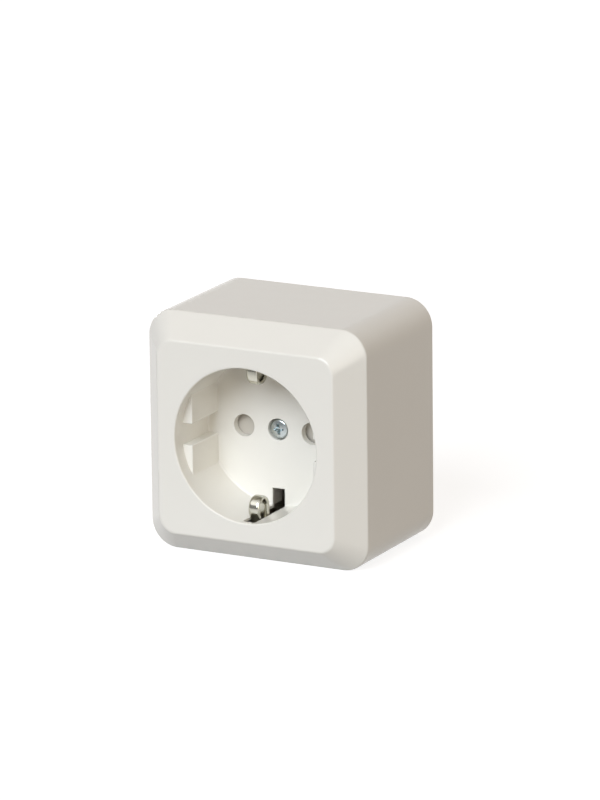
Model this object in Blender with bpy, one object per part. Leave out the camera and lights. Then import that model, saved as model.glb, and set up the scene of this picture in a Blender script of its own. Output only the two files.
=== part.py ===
"""Surface-mounted wall socket with side earth contacts, built from its separate pieces.

Metres, +Z up. The origin is the centre of the wall face, on the axis of the round well.
The front faces -Y, the wall lies at Y = 0, and +X is to the right of a person facing it.
"""

import math

import bmesh
import bpy
from mathutils import Matrix, Vector

# Clearance between neighbouring pieces
GAP = 0.0003

# Cover: a square box with a bevelled border round a flat front
COVER_WIDTH = 0.0606
COVER_HEIGHT = 0.0613
CORNER_RADIUS = 0.007
BEVEL_INSET = 0.0059
BEVEL_DEPTH = 0.0071
FACE_CORNER_RADIUS = 0.0045
CREASE_RADIUS = 0.0012
WALL = 0.002

# Well that takes the plug
WELL_RADIUS = 0.0197
WELL_DEPTH = 0.0175
RIM_FILLET = 0.0008
FLOOR_FILLET = 0.0009
WELL_WALL = 0.0016
FLOOR = 0.002
GUIDE_REACH = 0.0029
GUIDE_SETBACK = 0.004
GUIDE_CHANNEL = 0.0055
GUIDE_WALL = 0.0012
EARTH_SLOT_WIDTH = 0.0036
EARTH_SLOT_SETBACK = 0.0016
EARTH_SLOT_HEIGHT = 0.0045
RIB_OFFSET = 0.012
RIB_THICKNESS = 0.0012

# Plug that the socket takes
PIN_SPACING = 0.019
PIN_HOLE_RADIUS = 0.00285
PIN_LENGTH = 0.019
PIN_TIP_ROOM = 0.0007

# Cover screw and its square nut
COVER_SCREW_RADIUS = 0.0015
COVER_HEAD_RADIUS = 0.0025
COVER_HEAD_HEIGHT = 0.0014
HEAD_SEAT_DEPTH = 0.0019
BOSS_RADIUS = 0.0042
NUT_WIDTH = 0.0055
NUT_THICKNESS = 0.0021

# Child-safety shutter, its spring and its retainer
SHUTTER_RADIUS = 0.0132
SHUTTER_THICKNESS = 0.0026
SHUTTER_HUB_RADIUS = 0.0063
SHUTTER_HUB_THICKNESS = 0.0009
SHUTTER_WING_ANGLE = math.radians(41.0)
SHUTTER_TRAVEL = math.radians(40.0)
RAMP_DEPTH = 0.0012
SPRING_WIRE_RADIUS = 0.000175
SPRING_PITCH = 0.0005
SPRING_TURNS = 2.0
RETAINER_RADIUS = 0.0144
RETAINER_PLATE = 0.0012
RETAINER_WALL_RADIUS = 0.0082
PEG_RADIUS = 0.0011
PEG_CIRCLE_RADIUS = 0.0115
PEG_ANGLE = math.radians(125.0)

# Contact block and its lid
LID_THICKNESS = 0.0012
LID_MARGIN = 0.0012
LID_PEG_RADIUS = 0.0006
LID_PEG_LENGTH = 0.002
BLOCK_HEIGHT = 0.035
BLOCK_WALL = 0.0013
BLOCK_FLOOR = 0.0013
STRAP_RECESS = 0.007
EARTH_SHELF_HEIGHT = 0.0085
CORE_DEPTH = 0.0055
LUG_WIDTH = 0.004
LUG_REACH = 0.0015
LUG_THICKNESS = 0.0016
LUG_OFFSET = 0.00975

# Line and neutral contacts: a stamped sheet with two spring leaves
SHEET = 0.0007
CONTACT_WIDTH = 0.006
WEB_HALF_HEIGHT = 0.0029
PINCH_HALF_HEIGHT = 0.00225
PINCH_SETBACK = 0.0035
LIP_HALF_HEIGHT = 0.0034
LIP_SETBACK = 0.0006
LEAF_BEND = 0.001
NECK_LENGTH = 0.0023
TERMINAL_WIDTH = 0.0055
TERMINAL_HALF_HEIGHT = 0.0082
TERMINAL_PITCH = 0.01

# Earth strap: one bent strip whose two ends are the springs in the well
STRAP_SHEET = 0.0011
STRAP_WIDTH = 0.006
STRAP_SPRING_WIDTH = 0.003
STRAP_LEG_OFFSET = 0.0222
STRAP_TAPER_START = 0.0188
STRAP_TAPER_LENGTH = 0.0016
STRAP_BEND = 0.0014
ARCH_CREST = 0.01485
ARCH_BACK_DEPTH = 0.0099
ARCH_FRONT_DEPTH = 0.0045
ARCH_BEND = 0.0026
ARCH_TAIL = 0.0182
ARCH_TAIL_BEND = 0.0018
ARCH_TAIL_LEAN = 0.0018
ARCH_END = 0.0214
EARTH_TERMINAL_HEIGHT = 0.0065
EARTH_TERMINAL_DROP = 0.014
EARTH_SCREW_OFFSET = 0.0074
EARTH_TERMINAL_REACH = 0.0104

# Terminal screws and the plates that clamp the wires
TERMINAL_SCREW_RADIUS = 0.00155
TERMINAL_HEAD_RADIUS = 0.0026
TERMINAL_HEAD_HEIGHT = 0.002
CLAMP_SIZE = 0.0052
CLAMP_THICKNESS = 0.001
WIRE_SPACE = 0.002

# Screws that hold the contact block on the base
BLOCK_SCREW_RADIUS = 0.0013
BLOCK_HEAD_RADIUS = 0.0026
BLOCK_HEAD_HEIGHT = 0.0017
BLOCK_SCREW_X = 0.0087
BLOCK_SCREW_Z = 0.0125
BLOCK_SCREW_LENGTH = 0.0062
SCREW_POCKET_FLOOR = 0.003

# Base plate
BASE_THICKNESS = 0.0022
BASE_RISE = 0.0015
BASE_RIM_HEIGHT = 0.0038
BASE_RIM_WALL = 0.0015
BASE_RIB_THICKNESS = 0.0012
BASE_RIB_OFFSET = 0.014
BASE_RIB_HALF_HEIGHT = 0.0155
POST_RADIUS = 0.003
FIX_SLOT_WIDTH = 0.0046
FIX_SLOT_LENGTH = 0.0085
FIX_SLOT_OFFSET = 0.0172
CABLE_ENTRY_WIDTH = 0.013
CABLE_ENTRY_HEIGHT = 0.0068
CABLE_ENTRY_RADIUS = 0.002
MEMBRANE = 0.0006
HOOK_WALL = 0.0013
HOOK_TOP = 0.0012

# Facets and shading
WELL_SEGMENTS = 72
HOLE_SEGMENTS = 32
SCREW_SEGMENTS = 18
CORNER_STEPS = 8
BEND_STEPS = 5
DOME_STEPS = 3
SPRING_STEPS = 18
SMOOTH_ANGLE = math.radians(35.0)
OVERSHOOT = 0.001

# Stations along Y, from the wall to the front
BASE_FRONT_Y = -BASE_THICKNESS
BLOCK_BACK_Y = BASE_FRONT_Y - BASE_RISE - GAP
BLOCK_FLOOR_Y = BLOCK_BACK_Y - BLOCK_FLOOR
WEB_BACK_Y = BLOCK_FLOOR_Y - GAP
WEB_FRONT_Y = WEB_BACK_Y - SHEET
FLOOR_Y = WEB_FRONT_Y - PIN_TIP_ROOM - PIN_LENGTH
FACE_Y = FLOOR_Y - WELL_DEPTH
CREASE_Y = FACE_Y + BEVEL_DEPTH
FLOOR_BACK_Y = FLOOR_Y + FLOOR
SHUTTER_Y = FLOOR_BACK_Y + GAP
RETAINER_FRONT_Y = SHUTTER_Y + SHUTTER_THICKNESS + GAP
RETAINER_BACK_Y = RETAINER_FRONT_Y + RETAINER_PLATE
LID_FRONT_Y = RETAINER_BACK_Y + GAP
LID_BACK_Y = LID_FRONT_Y + LID_THICKNESS
BLOCK_FRONT_Y = LID_BACK_Y + GAP
SHELF_Y = BLOCK_FRONT_Y + STRAP_RECESS
STRAP_Y = SHELF_Y - GAP - STRAP_SHEET / 2
NUT_FRONT_Y = SHELF_Y + GAP
NUT_POCKET_Y = NUT_FRONT_Y + NUT_THICKNESS + GAP
HEAD_SEAT_Y = FLOOR_Y + HEAD_SEAT_DEPTH
COVER_SCREW_Y = HEAD_SEAT_Y - GAP
COVER_SCREW_LENGTH = NUT_POCKET_Y + GAP - COVER_SCREW_Y
COVER_BACK_Y = -GAP
POCKET_FLOOR_Y = BLOCK_BACK_Y - SCREW_POCKET_FLOOR
BLOCK_SCREW_Y = POCKET_FLOOR_Y - GAP
CLAMP_STEP = WIRE_SPACE + CLAMP_THICKNESS
TERMINAL_SCREW_LENGTH = GAP + CLAMP_STEP + SHEET

# Places across the front
COVER_HALF_WIDTH = COVER_WIDTH / 2
COVER_HALF_HEIGHT = COVER_HEIGHT / 2
WELL_OUTER_RADIUS = WELL_RADIUS + WELL_WALL
WELL_MID_RADIUS = WELL_RADIUS + WELL_WALL / 2
GUIDE_CHORD = WELL_RADIUS - GUIDE_REACH
EARTH_SLOT_END = WELL_RADIUS - EARTH_SLOT_HEIGHT
PIN_X = PIN_SPACING / 2
CHAMBER_HALF_WIDTH = CONTACT_WIDTH / 2 + GAP
CHAMBER_HALF_HEIGHT = LIP_HALF_HEIGHT + SHEET / 2 + GAP
TERMINAL_X = PIN_X + CONTACT_WIDTH / 2 + NECK_LENGTH + TERMINAL_WIDTH / 2
POCKET_HALF_WIDTH = TERMINAL_WIDTH / 2 + GAP
BLOCK_HALF_WIDTH = TERMINAL_X + POCKET_HALF_WIDTH + BLOCK_WALL
BLOCK_HALF_HEIGHT = BLOCK_HEIGHT / 2
GROOVE_HALF_WIDTH = STRAP_WIDTH / 2 + GAP
BOSS_HOLE_RADIUS = BOSS_RADIUS + GAP
SCREW_HOLE_RADIUS = COVER_SCREW_RADIUS + GAP
LID_HALF_WIDTH = PIN_X + PIN_HOLE_RADIUS + LID_MARGIN
LID_HALF_HEIGHT = CHAMBER_HALF_HEIGHT + LID_MARGIN
LID_PEG_X = (GROOVE_HALF_WIDTH + PIN_X - CHAMBER_HALF_WIDTH) / 2
LID_PEG_Z = CHAMBER_HALF_HEIGHT - LID_PEG_RADIUS
BASE_HALF_WIDTH = COVER_HALF_WIDTH - WALL - GAP
BASE_HALF_HEIGHT = COVER_HALF_HEIGHT - WALL - GAP
BASE_CORNER_RADIUS = CORNER_RADIUS - WALL
ENTRY_Z = (BLOCK_HALF_HEIGHT + BASE_HALF_HEIGHT - BASE_RIM_WALL) / 2


def linear(hex_colour):
    """Linear RGBA of an sRGB colour written as six hex digits."""
    channels = [int(hex_colour[i : i + 2], 16) / 255 for i in (0, 2, 4)]
    return [c / 12.92 if c <= 0.04045 else ((c + 0.055) / 1.055) ** 2.4 for c in channels] + [1.0]


def material(name, hex_colour, roughness, metallic=0.0):
    """Principled material with one colour."""
    made = bpy.data.materials.new(name)
    made.use_nodes = True
    shader = made.node_tree.nodes["Principled BSDF"]
    shader.inputs["Base Color"].default_value = linear(hex_colour)
    shader.inputs["Roughness"].default_value = roughness
    shader.inputs["Metallic"].default_value = metallic
    return made


def mesh_from(bm, name="shape"):
    """Mesh of a finished bmesh, with its faces pointing out."""
    bmesh.ops.recalc_face_normals(bm, faces=bm.faces[:])
    mesh = bpy.data.meshes.new(name)
    bm.to_mesh(mesh)
    bm.free()
    return mesh


def prism(outline, start, end, axis="Y"):
    """Straight extrusion of an outline: (x, z) points along Y, (y, z) along X, (x, y) along Z."""
    place = {
        "X": lambda a, b, t: (t, a, b),
        "Y": lambda a, b, t: (a, t, b),
        "Z": lambda a, b, t: (a, b, t),
    }[axis]
    bm = bmesh.new()
    face = bm.faces.new([bm.verts.new(place(a, b, start)) for a, b in outline])
    grown = bmesh.ops.extrude_face_region(bm, geom=[face])["geom"]
    moved = [item for item in grown if isinstance(item, bmesh.types.BMVert)]
    bmesh.ops.translate(bm, verts=moved, vec=Vector(place(0.0, 0.0, end - start)))
    return mesh_from(bm)


def rectangle(left, right, low, high):
    """Corner points of a rectangle."""
    return [(left, low), (right, low), (right, high), (left, high)]


def box(x_range, y_range, z_range):
    """Rectangular block between three pairs of limits."""
    return prism(rectangle(*x_range, *z_range), *y_range)


def arc(centre, radius, start, end, steps):
    """Points on a circular arc, both ends included."""
    angles = [start + (end - start) * i / steps for i in range(steps + 1)]
    return [(centre[0] + radius * math.cos(a), centre[1] + radius * math.sin(a)) for a in angles]


def circle(radius, centre=(0.0, 0.0), segments=HOLE_SEGMENTS):
    """Points round a full circle."""
    return arc(centre, radius, 0.0, math.tau, segments)[:-1]


def cylinder(radius, start, end, centre=(0.0, 0.0), segments=HOLE_SEGMENTS):
    """Cylinder along Y."""
    return prism(circle(radius, centre, segments), start, end)


def rounded_rectangle(half_width, half_height, radius, steps=CORNER_STEPS, centre=(0.0, 0.0)):
    """Outline of a rectangle with round corners."""
    points = []
    for quarter, (side_x, side_z) in enumerate(((1, 1), (-1, 1), (-1, -1), (1, -1))):
        middle = (
            centre[0] + side_x * (half_width - radius),
            centre[1] + side_z * (half_height - radius),
        )
        start = quarter * math.pi / 2
        points += arc(middle, radius, start, start + math.pi / 2, steps)
    return points


def filleted(corners, radii, steps=BEND_STEPS):
    """Open polyline whose inner corners are rounded, one radius for each inner corner."""
    points = [Vector(corners[0])]
    for before, corner, after, radius in zip(corners, corners[1:], corners[2:], radii):
        corner = Vector(corner)
        back = (Vector(before) - corner).normalized()
        ahead = (Vector(after) - corner).normalized()
        half = back.angle(ahead) / 2
        centre = corner + (back + ahead).normalized() * radius / math.sin(half)
        start = corner + back * radius / math.tan(half) - centre
        end = corner + ahead * radius / math.tan(half) - centre
        turn = start.angle(end)
        for i in range(steps + 1):
            share = i / steps
            mixed = start * math.sin((1 - share) * turn) + end * math.sin(share * turn)
            points.append(centre + mixed / math.sin(turn))
    points.append(Vector(corners[-1]))
    return points


def lofted(rings):
    """Closed skin through rings of equal point counts, capped at both ends."""
    bm = bmesh.new()
    loops = [[bm.verts.new(point) for point in ring] for ring in rings]
    count = len(rings[0])
    for near, far in zip(loops, loops[1:]):
        for i in range(count):
            j = (i + 1) % count
            bm.faces.new((near[i], near[j], far[j], far[i]))
    bm.faces.new(loops[0])
    bm.faces.new(loops[-1])
    return mesh_from(bm)


def turned(profile, segments=HOLE_SEGMENTS):
    """Solid of revolution about Y from (radius, y) points whose ends lie on the axis."""
    bm = bmesh.new()
    verts = [bm.verts.new((radius, y, 0.0)) for radius, y in profile]
    edges = [bm.edges.new(pair) for pair in zip(verts, verts[1:])]
    bmesh.ops.spin(
        bm, geom=verts + edges, axis=(0, 1, 0), cent=(0, 0, 0), angle=math.tau, steps=segments
    )
    bmesh.ops.remove_doubles(bm, verts=bm.verts[:], dist=GAP / 100)
    return mesh_from(bm)


def ribbon(path, half_widths, thickness):
    """bmesh of a strip bent along (y, z) points, its width along X and its sheet round the path."""
    bm = bmesh.new()
    path = [Vector(point) for point in path]
    rings = []
    for i, (point, half_width) in enumerate(zip(path, half_widths)):
        along = [path[i] - path[i - 1]] if i > 0 else []
        along += [path[i + 1] - path[i]] if i < len(path) - 1 else []
        steps = [step.normalized() for step in along]
        direction = sum(steps, Vector((0.0, 0.0))).normalized()
        normal = Vector((-direction.y, direction.x))
        reach = normal * thickness / 2 / max(direction.dot(steps[0]), 0.5)
        corners = []
        for side_x, side_n in ((-1, -1), (1, -1), (1, 1), (-1, 1)):
            spot = point + reach * side_n
            corners.append(bm.verts.new((side_x * half_width, spot.x, spot.y)))
        rings.append(corners)
    for near, far in zip(rings, rings[1:]):
        for i in range(4):
            j = (i + 1) % 4
            bm.faces.new((near[i], near[j], far[j], far[i]))
    bm.faces.new(rings[0])
    bm.faces.new(rings[-1])
    bm.normal_update()
    return bm


def face_near(bm, point):
    """The face whose centre lies nearest to a point."""
    return min(bm.faces, key=lambda face: (face.calc_center_median() - Vector(point)).length)


def pull(bm, point, move):
    """Extrudes the face nearest to a point along a vector."""
    face = face_near(bm, point)
    grown = bmesh.ops.extrude_discrete_faces(bm, faces=[face])["faces"]
    bmesh.ops.translate(bm, verts=list(grown[0].verts), vec=Vector(move))


def with_boolean(mesh, tools, operation):
    """The mesh after an exact Boolean with each tool in turn."""
    scene = bpy.context.scene.collection
    target = bpy.data.objects.new("boolean_target", mesh)
    scene.objects.link(target)
    helpers = []
    for tool in tools:
        helper = bpy.data.objects.new("boolean_tool", tool)
        helper.display_type = "WIRE"
        helper.hide_render = True
        scene.objects.link(helper)
        modifier = target.modifiers.new(operation.title(), "BOOLEAN")
        modifier.operation = operation
        modifier.solver = "EXACT"
        modifier.object = helper
        helpers.append(helper)
    graph = bpy.context.evaluated_depsgraph_get()
    graph.update()
    result = bpy.data.meshes.new_from_object(target.evaluated_get(graph))
    for used in [target] + helpers:
        bpy.data.objects.remove(used, do_unlink=True)
    return result


def cut(mesh, *tools):
    """The mesh with the tools' shapes taken away."""
    return with_boolean(mesh, tools, "DIFFERENCE")


def fuse(mesh, *tools):
    """The mesh joined with the tools' shapes."""
    return with_boolean(mesh, tools, "UNION")


def add_part(name, mesh, finish, parent, location=(0.0, 0.0, 0.0)):
    """Named object for one sub-part, placed by its location."""
    mesh = mesh.copy()
    mesh.name = name
    mesh.materials.clear()
    mesh.materials.append(finish)
    mesh.shade_smooth()
    mesh.set_sharp_from_angle(angle=SMOOTH_ANGLE)
    part = bpy.data.objects.new(name, mesh)
    part.parent = parent
    part.location = location
    bpy.context.scene.collection.objects.link(part)
    return part


def crossed(radius, width, depth):
    """Cross recess that is cut into a screw head, its mouth at Y = 0."""
    points = []
    for quarter in range(4):
        turn = quarter * math.pi / 2
        for along, across in ((radius, -width / 2), (radius, width / 2), (width / 2, width / 2)):
            x = along * math.cos(turn) - across * math.sin(turn)
            z = along * math.sin(turn) + across * math.cos(turn)
            points.append((x, z))
    return prism(points, -OVERSHOOT, depth)


def screw_mesh(head_radius, head_height, shank_radius, length):
    """Screw along Y, its head in front and the underside of the head at Y = 0."""
    edge = head_height * 0.6
    dome = filleted(
        [(0.0, -head_height), (head_radius, -head_height), (head_radius, 0.0)], [edge], DOME_STEPS
    )
    tip = shank_radius * 0.6
    profile = [tuple(point) for point in dome] + [
        (shank_radius, 0.0),
        (shank_radius, length - tip / 2),
        (tip, length),
        (0.0, length),
    ]
    head = turned(profile, SCREW_SEGMENTS)
    recess = crossed(head_radius * 0.6, head_radius * 0.3, head_height * 0.6)
    recess.transform(Matrix.Translation((0.0, -head_height, 0.0)))
    return cut(head, recess)


def cover_ring(inset, y, wall=0.0):
    """Rounded square of the cover at one depth, drawn in from the outer side by an inset."""
    share = min(inset / BEVEL_INSET, 1.0)
    radius = CORNER_RADIUS + (FACE_CORNER_RADIUS - CORNER_RADIUS) * share - wall
    half_width = COVER_HALF_WIDTH - inset - wall
    half_height = COVER_HALF_HEIGHT - inset - wall
    return [(x, y, z) for x, z in rounded_rectangle(half_width, half_height, radius)]


def cover_skin():
    """Outer form of the cover: straight sides, soft creases and the bevelled border."""
    section = filleted(
        [
            (0.0, COVER_BACK_Y),
            (0.0, CREASE_Y),
            (BEVEL_INSET, FACE_Y),
            (BEVEL_INSET + CREASE_RADIUS, FACE_Y),
        ],
        [CREASE_RADIUS, CREASE_RADIUS],
    )
    return lofted([cover_ring(inset, y) for inset, y in section])


def bevel_behind(depth):
    """Bevel line at a depth under the cover's skin: its crease, its front end and its inset there."""
    slope = math.atan2(BEVEL_INSET, BEVEL_DEPTH)
    crease_y = CREASE_Y + depth * math.tan(slope / 2)
    front_y = FACE_Y + depth
    return crease_y, front_y, (crease_y - front_y) * BEVEL_INSET / BEVEL_DEPTH


def cover_cavity():
    """Hollow behind the cover's walls, of even wall thickness."""
    crease_y, front_y, front_inset = bevel_behind(WALL)
    return lofted(
        [
            cover_ring(0.0, COVER_BACK_Y + OVERSHOOT, WALL),
            cover_ring(0.0, crease_y, WALL),
            cover_ring(front_inset, front_y, WALL),
        ]
    )


def well_cut():
    """Round hollow for the plug, with a round on its rim and another where it meets its floor."""
    foot = (WELL_RADIUS - FLOOR_FILLET, FLOOR_Y - FLOOR_FILLET)
    rim = (WELL_RADIUS + RIM_FILLET, FACE_Y + RIM_FILLET)
    profile = [(0.0, FLOOR_Y)] + arc(foot, FLOOR_FILLET, math.pi / 2, 0.0, BEND_STEPS)
    profile += arc(rim, RIM_FILLET, -math.pi, -math.pi / 2, BEND_STEPS)
    profile += [(WELL_RADIUS + RIM_FILLET, FACE_Y - OVERSHOOT), (0.0, FACE_Y - OVERSHOOT)]
    return turned(profile, WELL_SEGMENTS)


def guide_outline(chord, low, radius, side_x, side_z):
    """Outline of a guide block: an upright side, a level side and an arc that joins them."""
    start, end = math.asin(low / radius), math.acos(chord / radius)
    outline = [(chord, low)] + arc((0.0, 0.0), radius, start, end, 6)
    return [(side_x * x, side_z * z) for x, z in outline]


def guide_block(side_x, side_z):
    """One of the four flat-sided blocks that keep the plug from turning."""
    outline = guide_outline(GUIDE_CHORD, GUIDE_CHANNEL / 2, WELL_MID_RADIUS, side_x, side_z)
    return prism(outline, FACE_Y + GUIDE_SETBACK, FLOOR_Y + FLOOR / 2)


def guide_core(side_x, side_z):
    """Hollow that cores a guide block from behind, so that its walls are as thin as the rest."""
    chord, low = GUIDE_CHORD + GUIDE_WALL, GUIDE_CHANNEL / 2 + GUIDE_WALL
    outline = guide_outline(chord, low, WELL_OUTER_RADIUS - GUIDE_WALL, side_x, side_z)
    return prism(outline, FACE_Y + GUIDE_SETBACK + GUIDE_WALL, FLOOR_BACK_Y + OVERSHOOT)


def earth_slot(side):
    """Slot through the well's wall and floor that lets one earth spring in."""
    outer = WELL_OUTER_RADIUS + WELL_WALL / 4
    inner = WELL_RADIUS - WELL_WALL
    front = FACE_Y + EARTH_SLOT_SETBACK
    back = FLOOR_BACK_Y + OVERSHOOT
    outline = [
        (front, side * outer),
        (front, side * inner),
        (FLOOR_Y - GAP, side * inner),
        (FLOOR_Y - GAP, side * EARTH_SLOT_END),
        (back, side * EARTH_SLOT_END),
        (back, side * outer),
    ]
    return prism(outline, -EARTH_SLOT_WIDTH / 2, EARTH_SLOT_WIDTH / 2, axis="X")


def stiffening_rib(offset, side, upright):
    """Rib between the well's tube and one side wall of the cover, rooted in the middle of both."""
    start = math.sqrt(WELL_MID_RADIUS**2 - offset**2)
    end = (COVER_HALF_HEIGHT if upright else COVER_HALF_WIDTH) - WALL / 2
    crease_y, front_y, front_inset = bevel_behind(WALL / 2)
    outline = [
        (FLOOR_Y, side * start),
        (front_y, side * start),
        (front_y, side * (end - front_inset)),
        (crease_y, side * end),
        (FLOOR_Y, side * end),
    ]
    if not upright:
        outline = [(distance, y) for y, distance in outline]
    near, far = offset - RIB_THICKNESS / 2, offset + RIB_THICKNESS / 2
    return prism(outline, near, far, axis="X" if upright else "Z")


def cover_ribs():
    """Eight ribs, two on each side of the well."""
    ribs = []
    for offset in (-RIB_OFFSET, RIB_OFFSET):
        for side in (-1, 1):
            ribs.append(stiffening_rib(offset, side, True))
            ribs.append(stiffening_rib(offset, side, False))
    return ribs


def peg_centres():
    """Centres of the two pegs that carry the shutter's retainer."""
    x = PEG_CIRCLE_RADIUS * math.cos(PEG_ANGLE)
    z = PEG_CIRCLE_RADIUS * math.sin(PEG_ANGLE)
    return [(x, z), (-x, -z)]


def screw_seat():
    """Seat of the cover screw: a wide recess for its head and a through hole."""
    seat_radius = COVER_HEAD_RADIUS + GAP
    profile = [
        (0.0, RETAINER_BACK_Y + OVERSHOOT),
        (SCREW_HOLE_RADIUS, RETAINER_BACK_Y + OVERSHOOT),
        (SCREW_HOLE_RADIUS, HEAD_SEAT_Y),
        (seat_radius, HEAD_SEAT_Y),
        (seat_radius, FLOOR_Y - OVERSHOOT),
        (0.0, FLOOR_Y - OVERSHOOT),
    ]
    return turned(profile)


def make_cover(parent):
    """Moulded cover with the well, its guides, slots, ribs, screw boss and pegs."""
    shell = cut(cover_skin(), cover_cavity())
    tube = cylinder(WELL_OUTER_RADIUS, FACE_Y + WALL / 2, FLOOR_BACK_Y, segments=WELL_SEGMENTS)
    shell = cut(fuse(shell, tube, *cover_ribs()), well_cut())
    quarters = [(side_x, side_z) for side_x in (-1, 1) for side_z in (-1, 1)]
    guides = [guide_block(*quarter) for quarter in quarters]
    cores = [guide_core(*quarter) for quarter in quarters]
    inside = FLOOR_BACK_Y - FLOOR / 2
    boss = cylinder(BOSS_RADIUS, inside, RETAINER_BACK_Y)
    pegs = [cylinder(PEG_RADIUS, inside, RETAINER_BACK_Y, spot, 16) for spot in peg_centres()]
    shell = fuse(shell, *guides, boss, *pegs)
    pin_holes = [
        cylinder(PIN_HOLE_RADIUS, FLOOR_Y - OVERSHOOT, FLOOR_BACK_Y + OVERSHOOT, (side * PIN_X, 0.0))
        for side in (-1, 1)
    ]
    shell = cut(shell, earth_slot(1), earth_slot(-1), *pin_holes, *cores, screw_seat())
    add_part("cover", shell, material("cover_thermoplastic", "ECEBE6", 0.22), parent)


def make_cover_screw(parent):
    """Plated screw in the middle of the well, and the square nut that it turns in."""
    mesh = screw_mesh(COVER_HEAD_RADIUS, COVER_HEAD_HEIGHT, COVER_SCREW_RADIUS, COVER_SCREW_LENGTH)
    zinc = material("zinc_plated_steel", "C3C8CE", 0.3, 1.0)
    add_part("cover_screw", mesh, zinc, parent, (0.0, COVER_SCREW_Y, 0.0))
    half = NUT_WIDTH / 2
    nut = box((-half, half), (0.0, NUT_THICKNESS), (-half, half))
    nut = cut(nut, cylinder(SCREW_HOLE_RADIUS, -OVERSHOOT, NUT_THICKNESS + OVERSHOOT))
    finish = material("nut_steel", "B9BCC0", 0.38, 1.0)
    add_part("cover_nut", nut, finish, parent, (0.0, NUT_FRONT_Y, 0.0))


def sector(inner, outer, start, end, steps=10):
    """Outline of a ring sector between two angles."""
    far = arc((0.0, 0.0), outer, start, end, steps)
    near = arc((0.0, 0.0), inner, end, start, steps)
    return far + near


def shutter_outline():
    """Hub with two opposite wings, seen from the front."""
    half = SHUTTER_WING_ANGLE / 2
    points = []
    for middle in (0.0, math.pi):
        points += arc((0.0, 0.0), SHUTTER_RADIUS, middle - half, middle + half, 10)
        start, end = middle + half, middle + math.pi - half
        points += arc((0.0, 0.0), SHUTTER_HUB_RADIUS, start, end, 14)
    return points


def shutter_ramp(side):
    """Wedge cut from the front of one wing, on which the pins push it aside."""
    lower = -side * SHUTTER_RADIUS * math.sin(SHUTTER_WING_ANGLE / 2) * 1.1
    outline = [
        (-OVERSHOOT, side * PIN_HOLE_RADIUS / 2),
        (0.0, side * PIN_HOLE_RADIUS / 2),
        (RAMP_DEPTH, lower),
        (-OVERSHOOT, lower),
    ]
    span = sorted((side * SHUTTER_HUB_RADIUS, side * (SHUTTER_RADIUS + OVERSHOOT)))
    return prism(outline, *span, axis="X")


def make_shutter(parent):
    """Turning shutter whose wings close both pin holes; its origin is on its axis."""
    body = prism(shutter_outline(), 0.0, SHUTTER_THICKNESS)
    coil_room = cylinder(SHUTTER_HUB_RADIUS + GAP / 3, SHUTTER_HUB_THICKNESS, SHUTTER_THICKNESS * 2)
    hole = cylinder(BOSS_HOLE_RADIUS, -OVERSHOOT, SHUTTER_THICKNESS)
    body = cut(body, coil_room, hole, shutter_ramp(1), shutter_ramp(-1))
    finish = material("shutter_plastic", "D6D0C6", 0.45)
    add_part("shutter", body, finish, parent, (0.0, SHUTTER_Y, 0.0))


def spring_route():
    """Centre line of the return spring: a leg, the coil round the boss, and the second leg."""
    radius = BOSS_RADIUS + GAP * 1.5 + SPRING_WIRE_RADIUS
    moving = math.asin((GAP + SPRING_WIRE_RADIUS) / RETAINER_WALL_RADIUS) + SHUTTER_WING_ANGLE / 2
    fixed = moving + SPRING_TURNS * math.tau + math.pi / 2
    first = SHUTTER_HUB_THICKNESS + GAP + SPRING_WIRE_RADIUS
    turns = (fixed - moving) / math.tau
    count = int(round(turns * SPRING_STEPS))
    points = []
    for i in range(count + 1):
        angle = moving + (fixed - moving) * i / count
        y = first + SPRING_PITCH * turns * i / count
        points.append((radius * math.cos(angle), y, radius * math.sin(angle)))
    leg = RETAINER_WALL_RADIUS - GAP
    near = (leg * math.cos(moving), first, leg * math.sin(moving))
    held = RETAINER_WALL_RADIUS + GAP * 4
    far = (held * math.cos(fixed), points[-1][1], held * math.sin(fixed))
    return [near] + points + [far], fixed


def make_spring(parent):
    """Torsion spring that turns the shutter back over the holes."""
    curve = bpy.data.curves.new("shutter_spring", "CURVE")
    curve.dimensions = "3D"
    curve.bevel_depth = SPRING_WIRE_RADIUS
    curve.bevel_resolution = 1
    curve.use_fill_caps = True
    route, _ = spring_route()
    spline = curve.splines.new("POLY")
    spline.points.add(len(route) - 1)
    for point, place in zip(spline.points, route):
        point.co = (*place, 1.0)
    curve.materials.append(material("spring_steel", "A9ADB2", 0.32, 1.0))
    spring = bpy.data.objects.new("shutter_spring", curve)
    spring.parent = parent
    spring.location = (0.0, SHUTTER_Y, 0.0)
    bpy.context.scene.collection.objects.link(spring)


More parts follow.
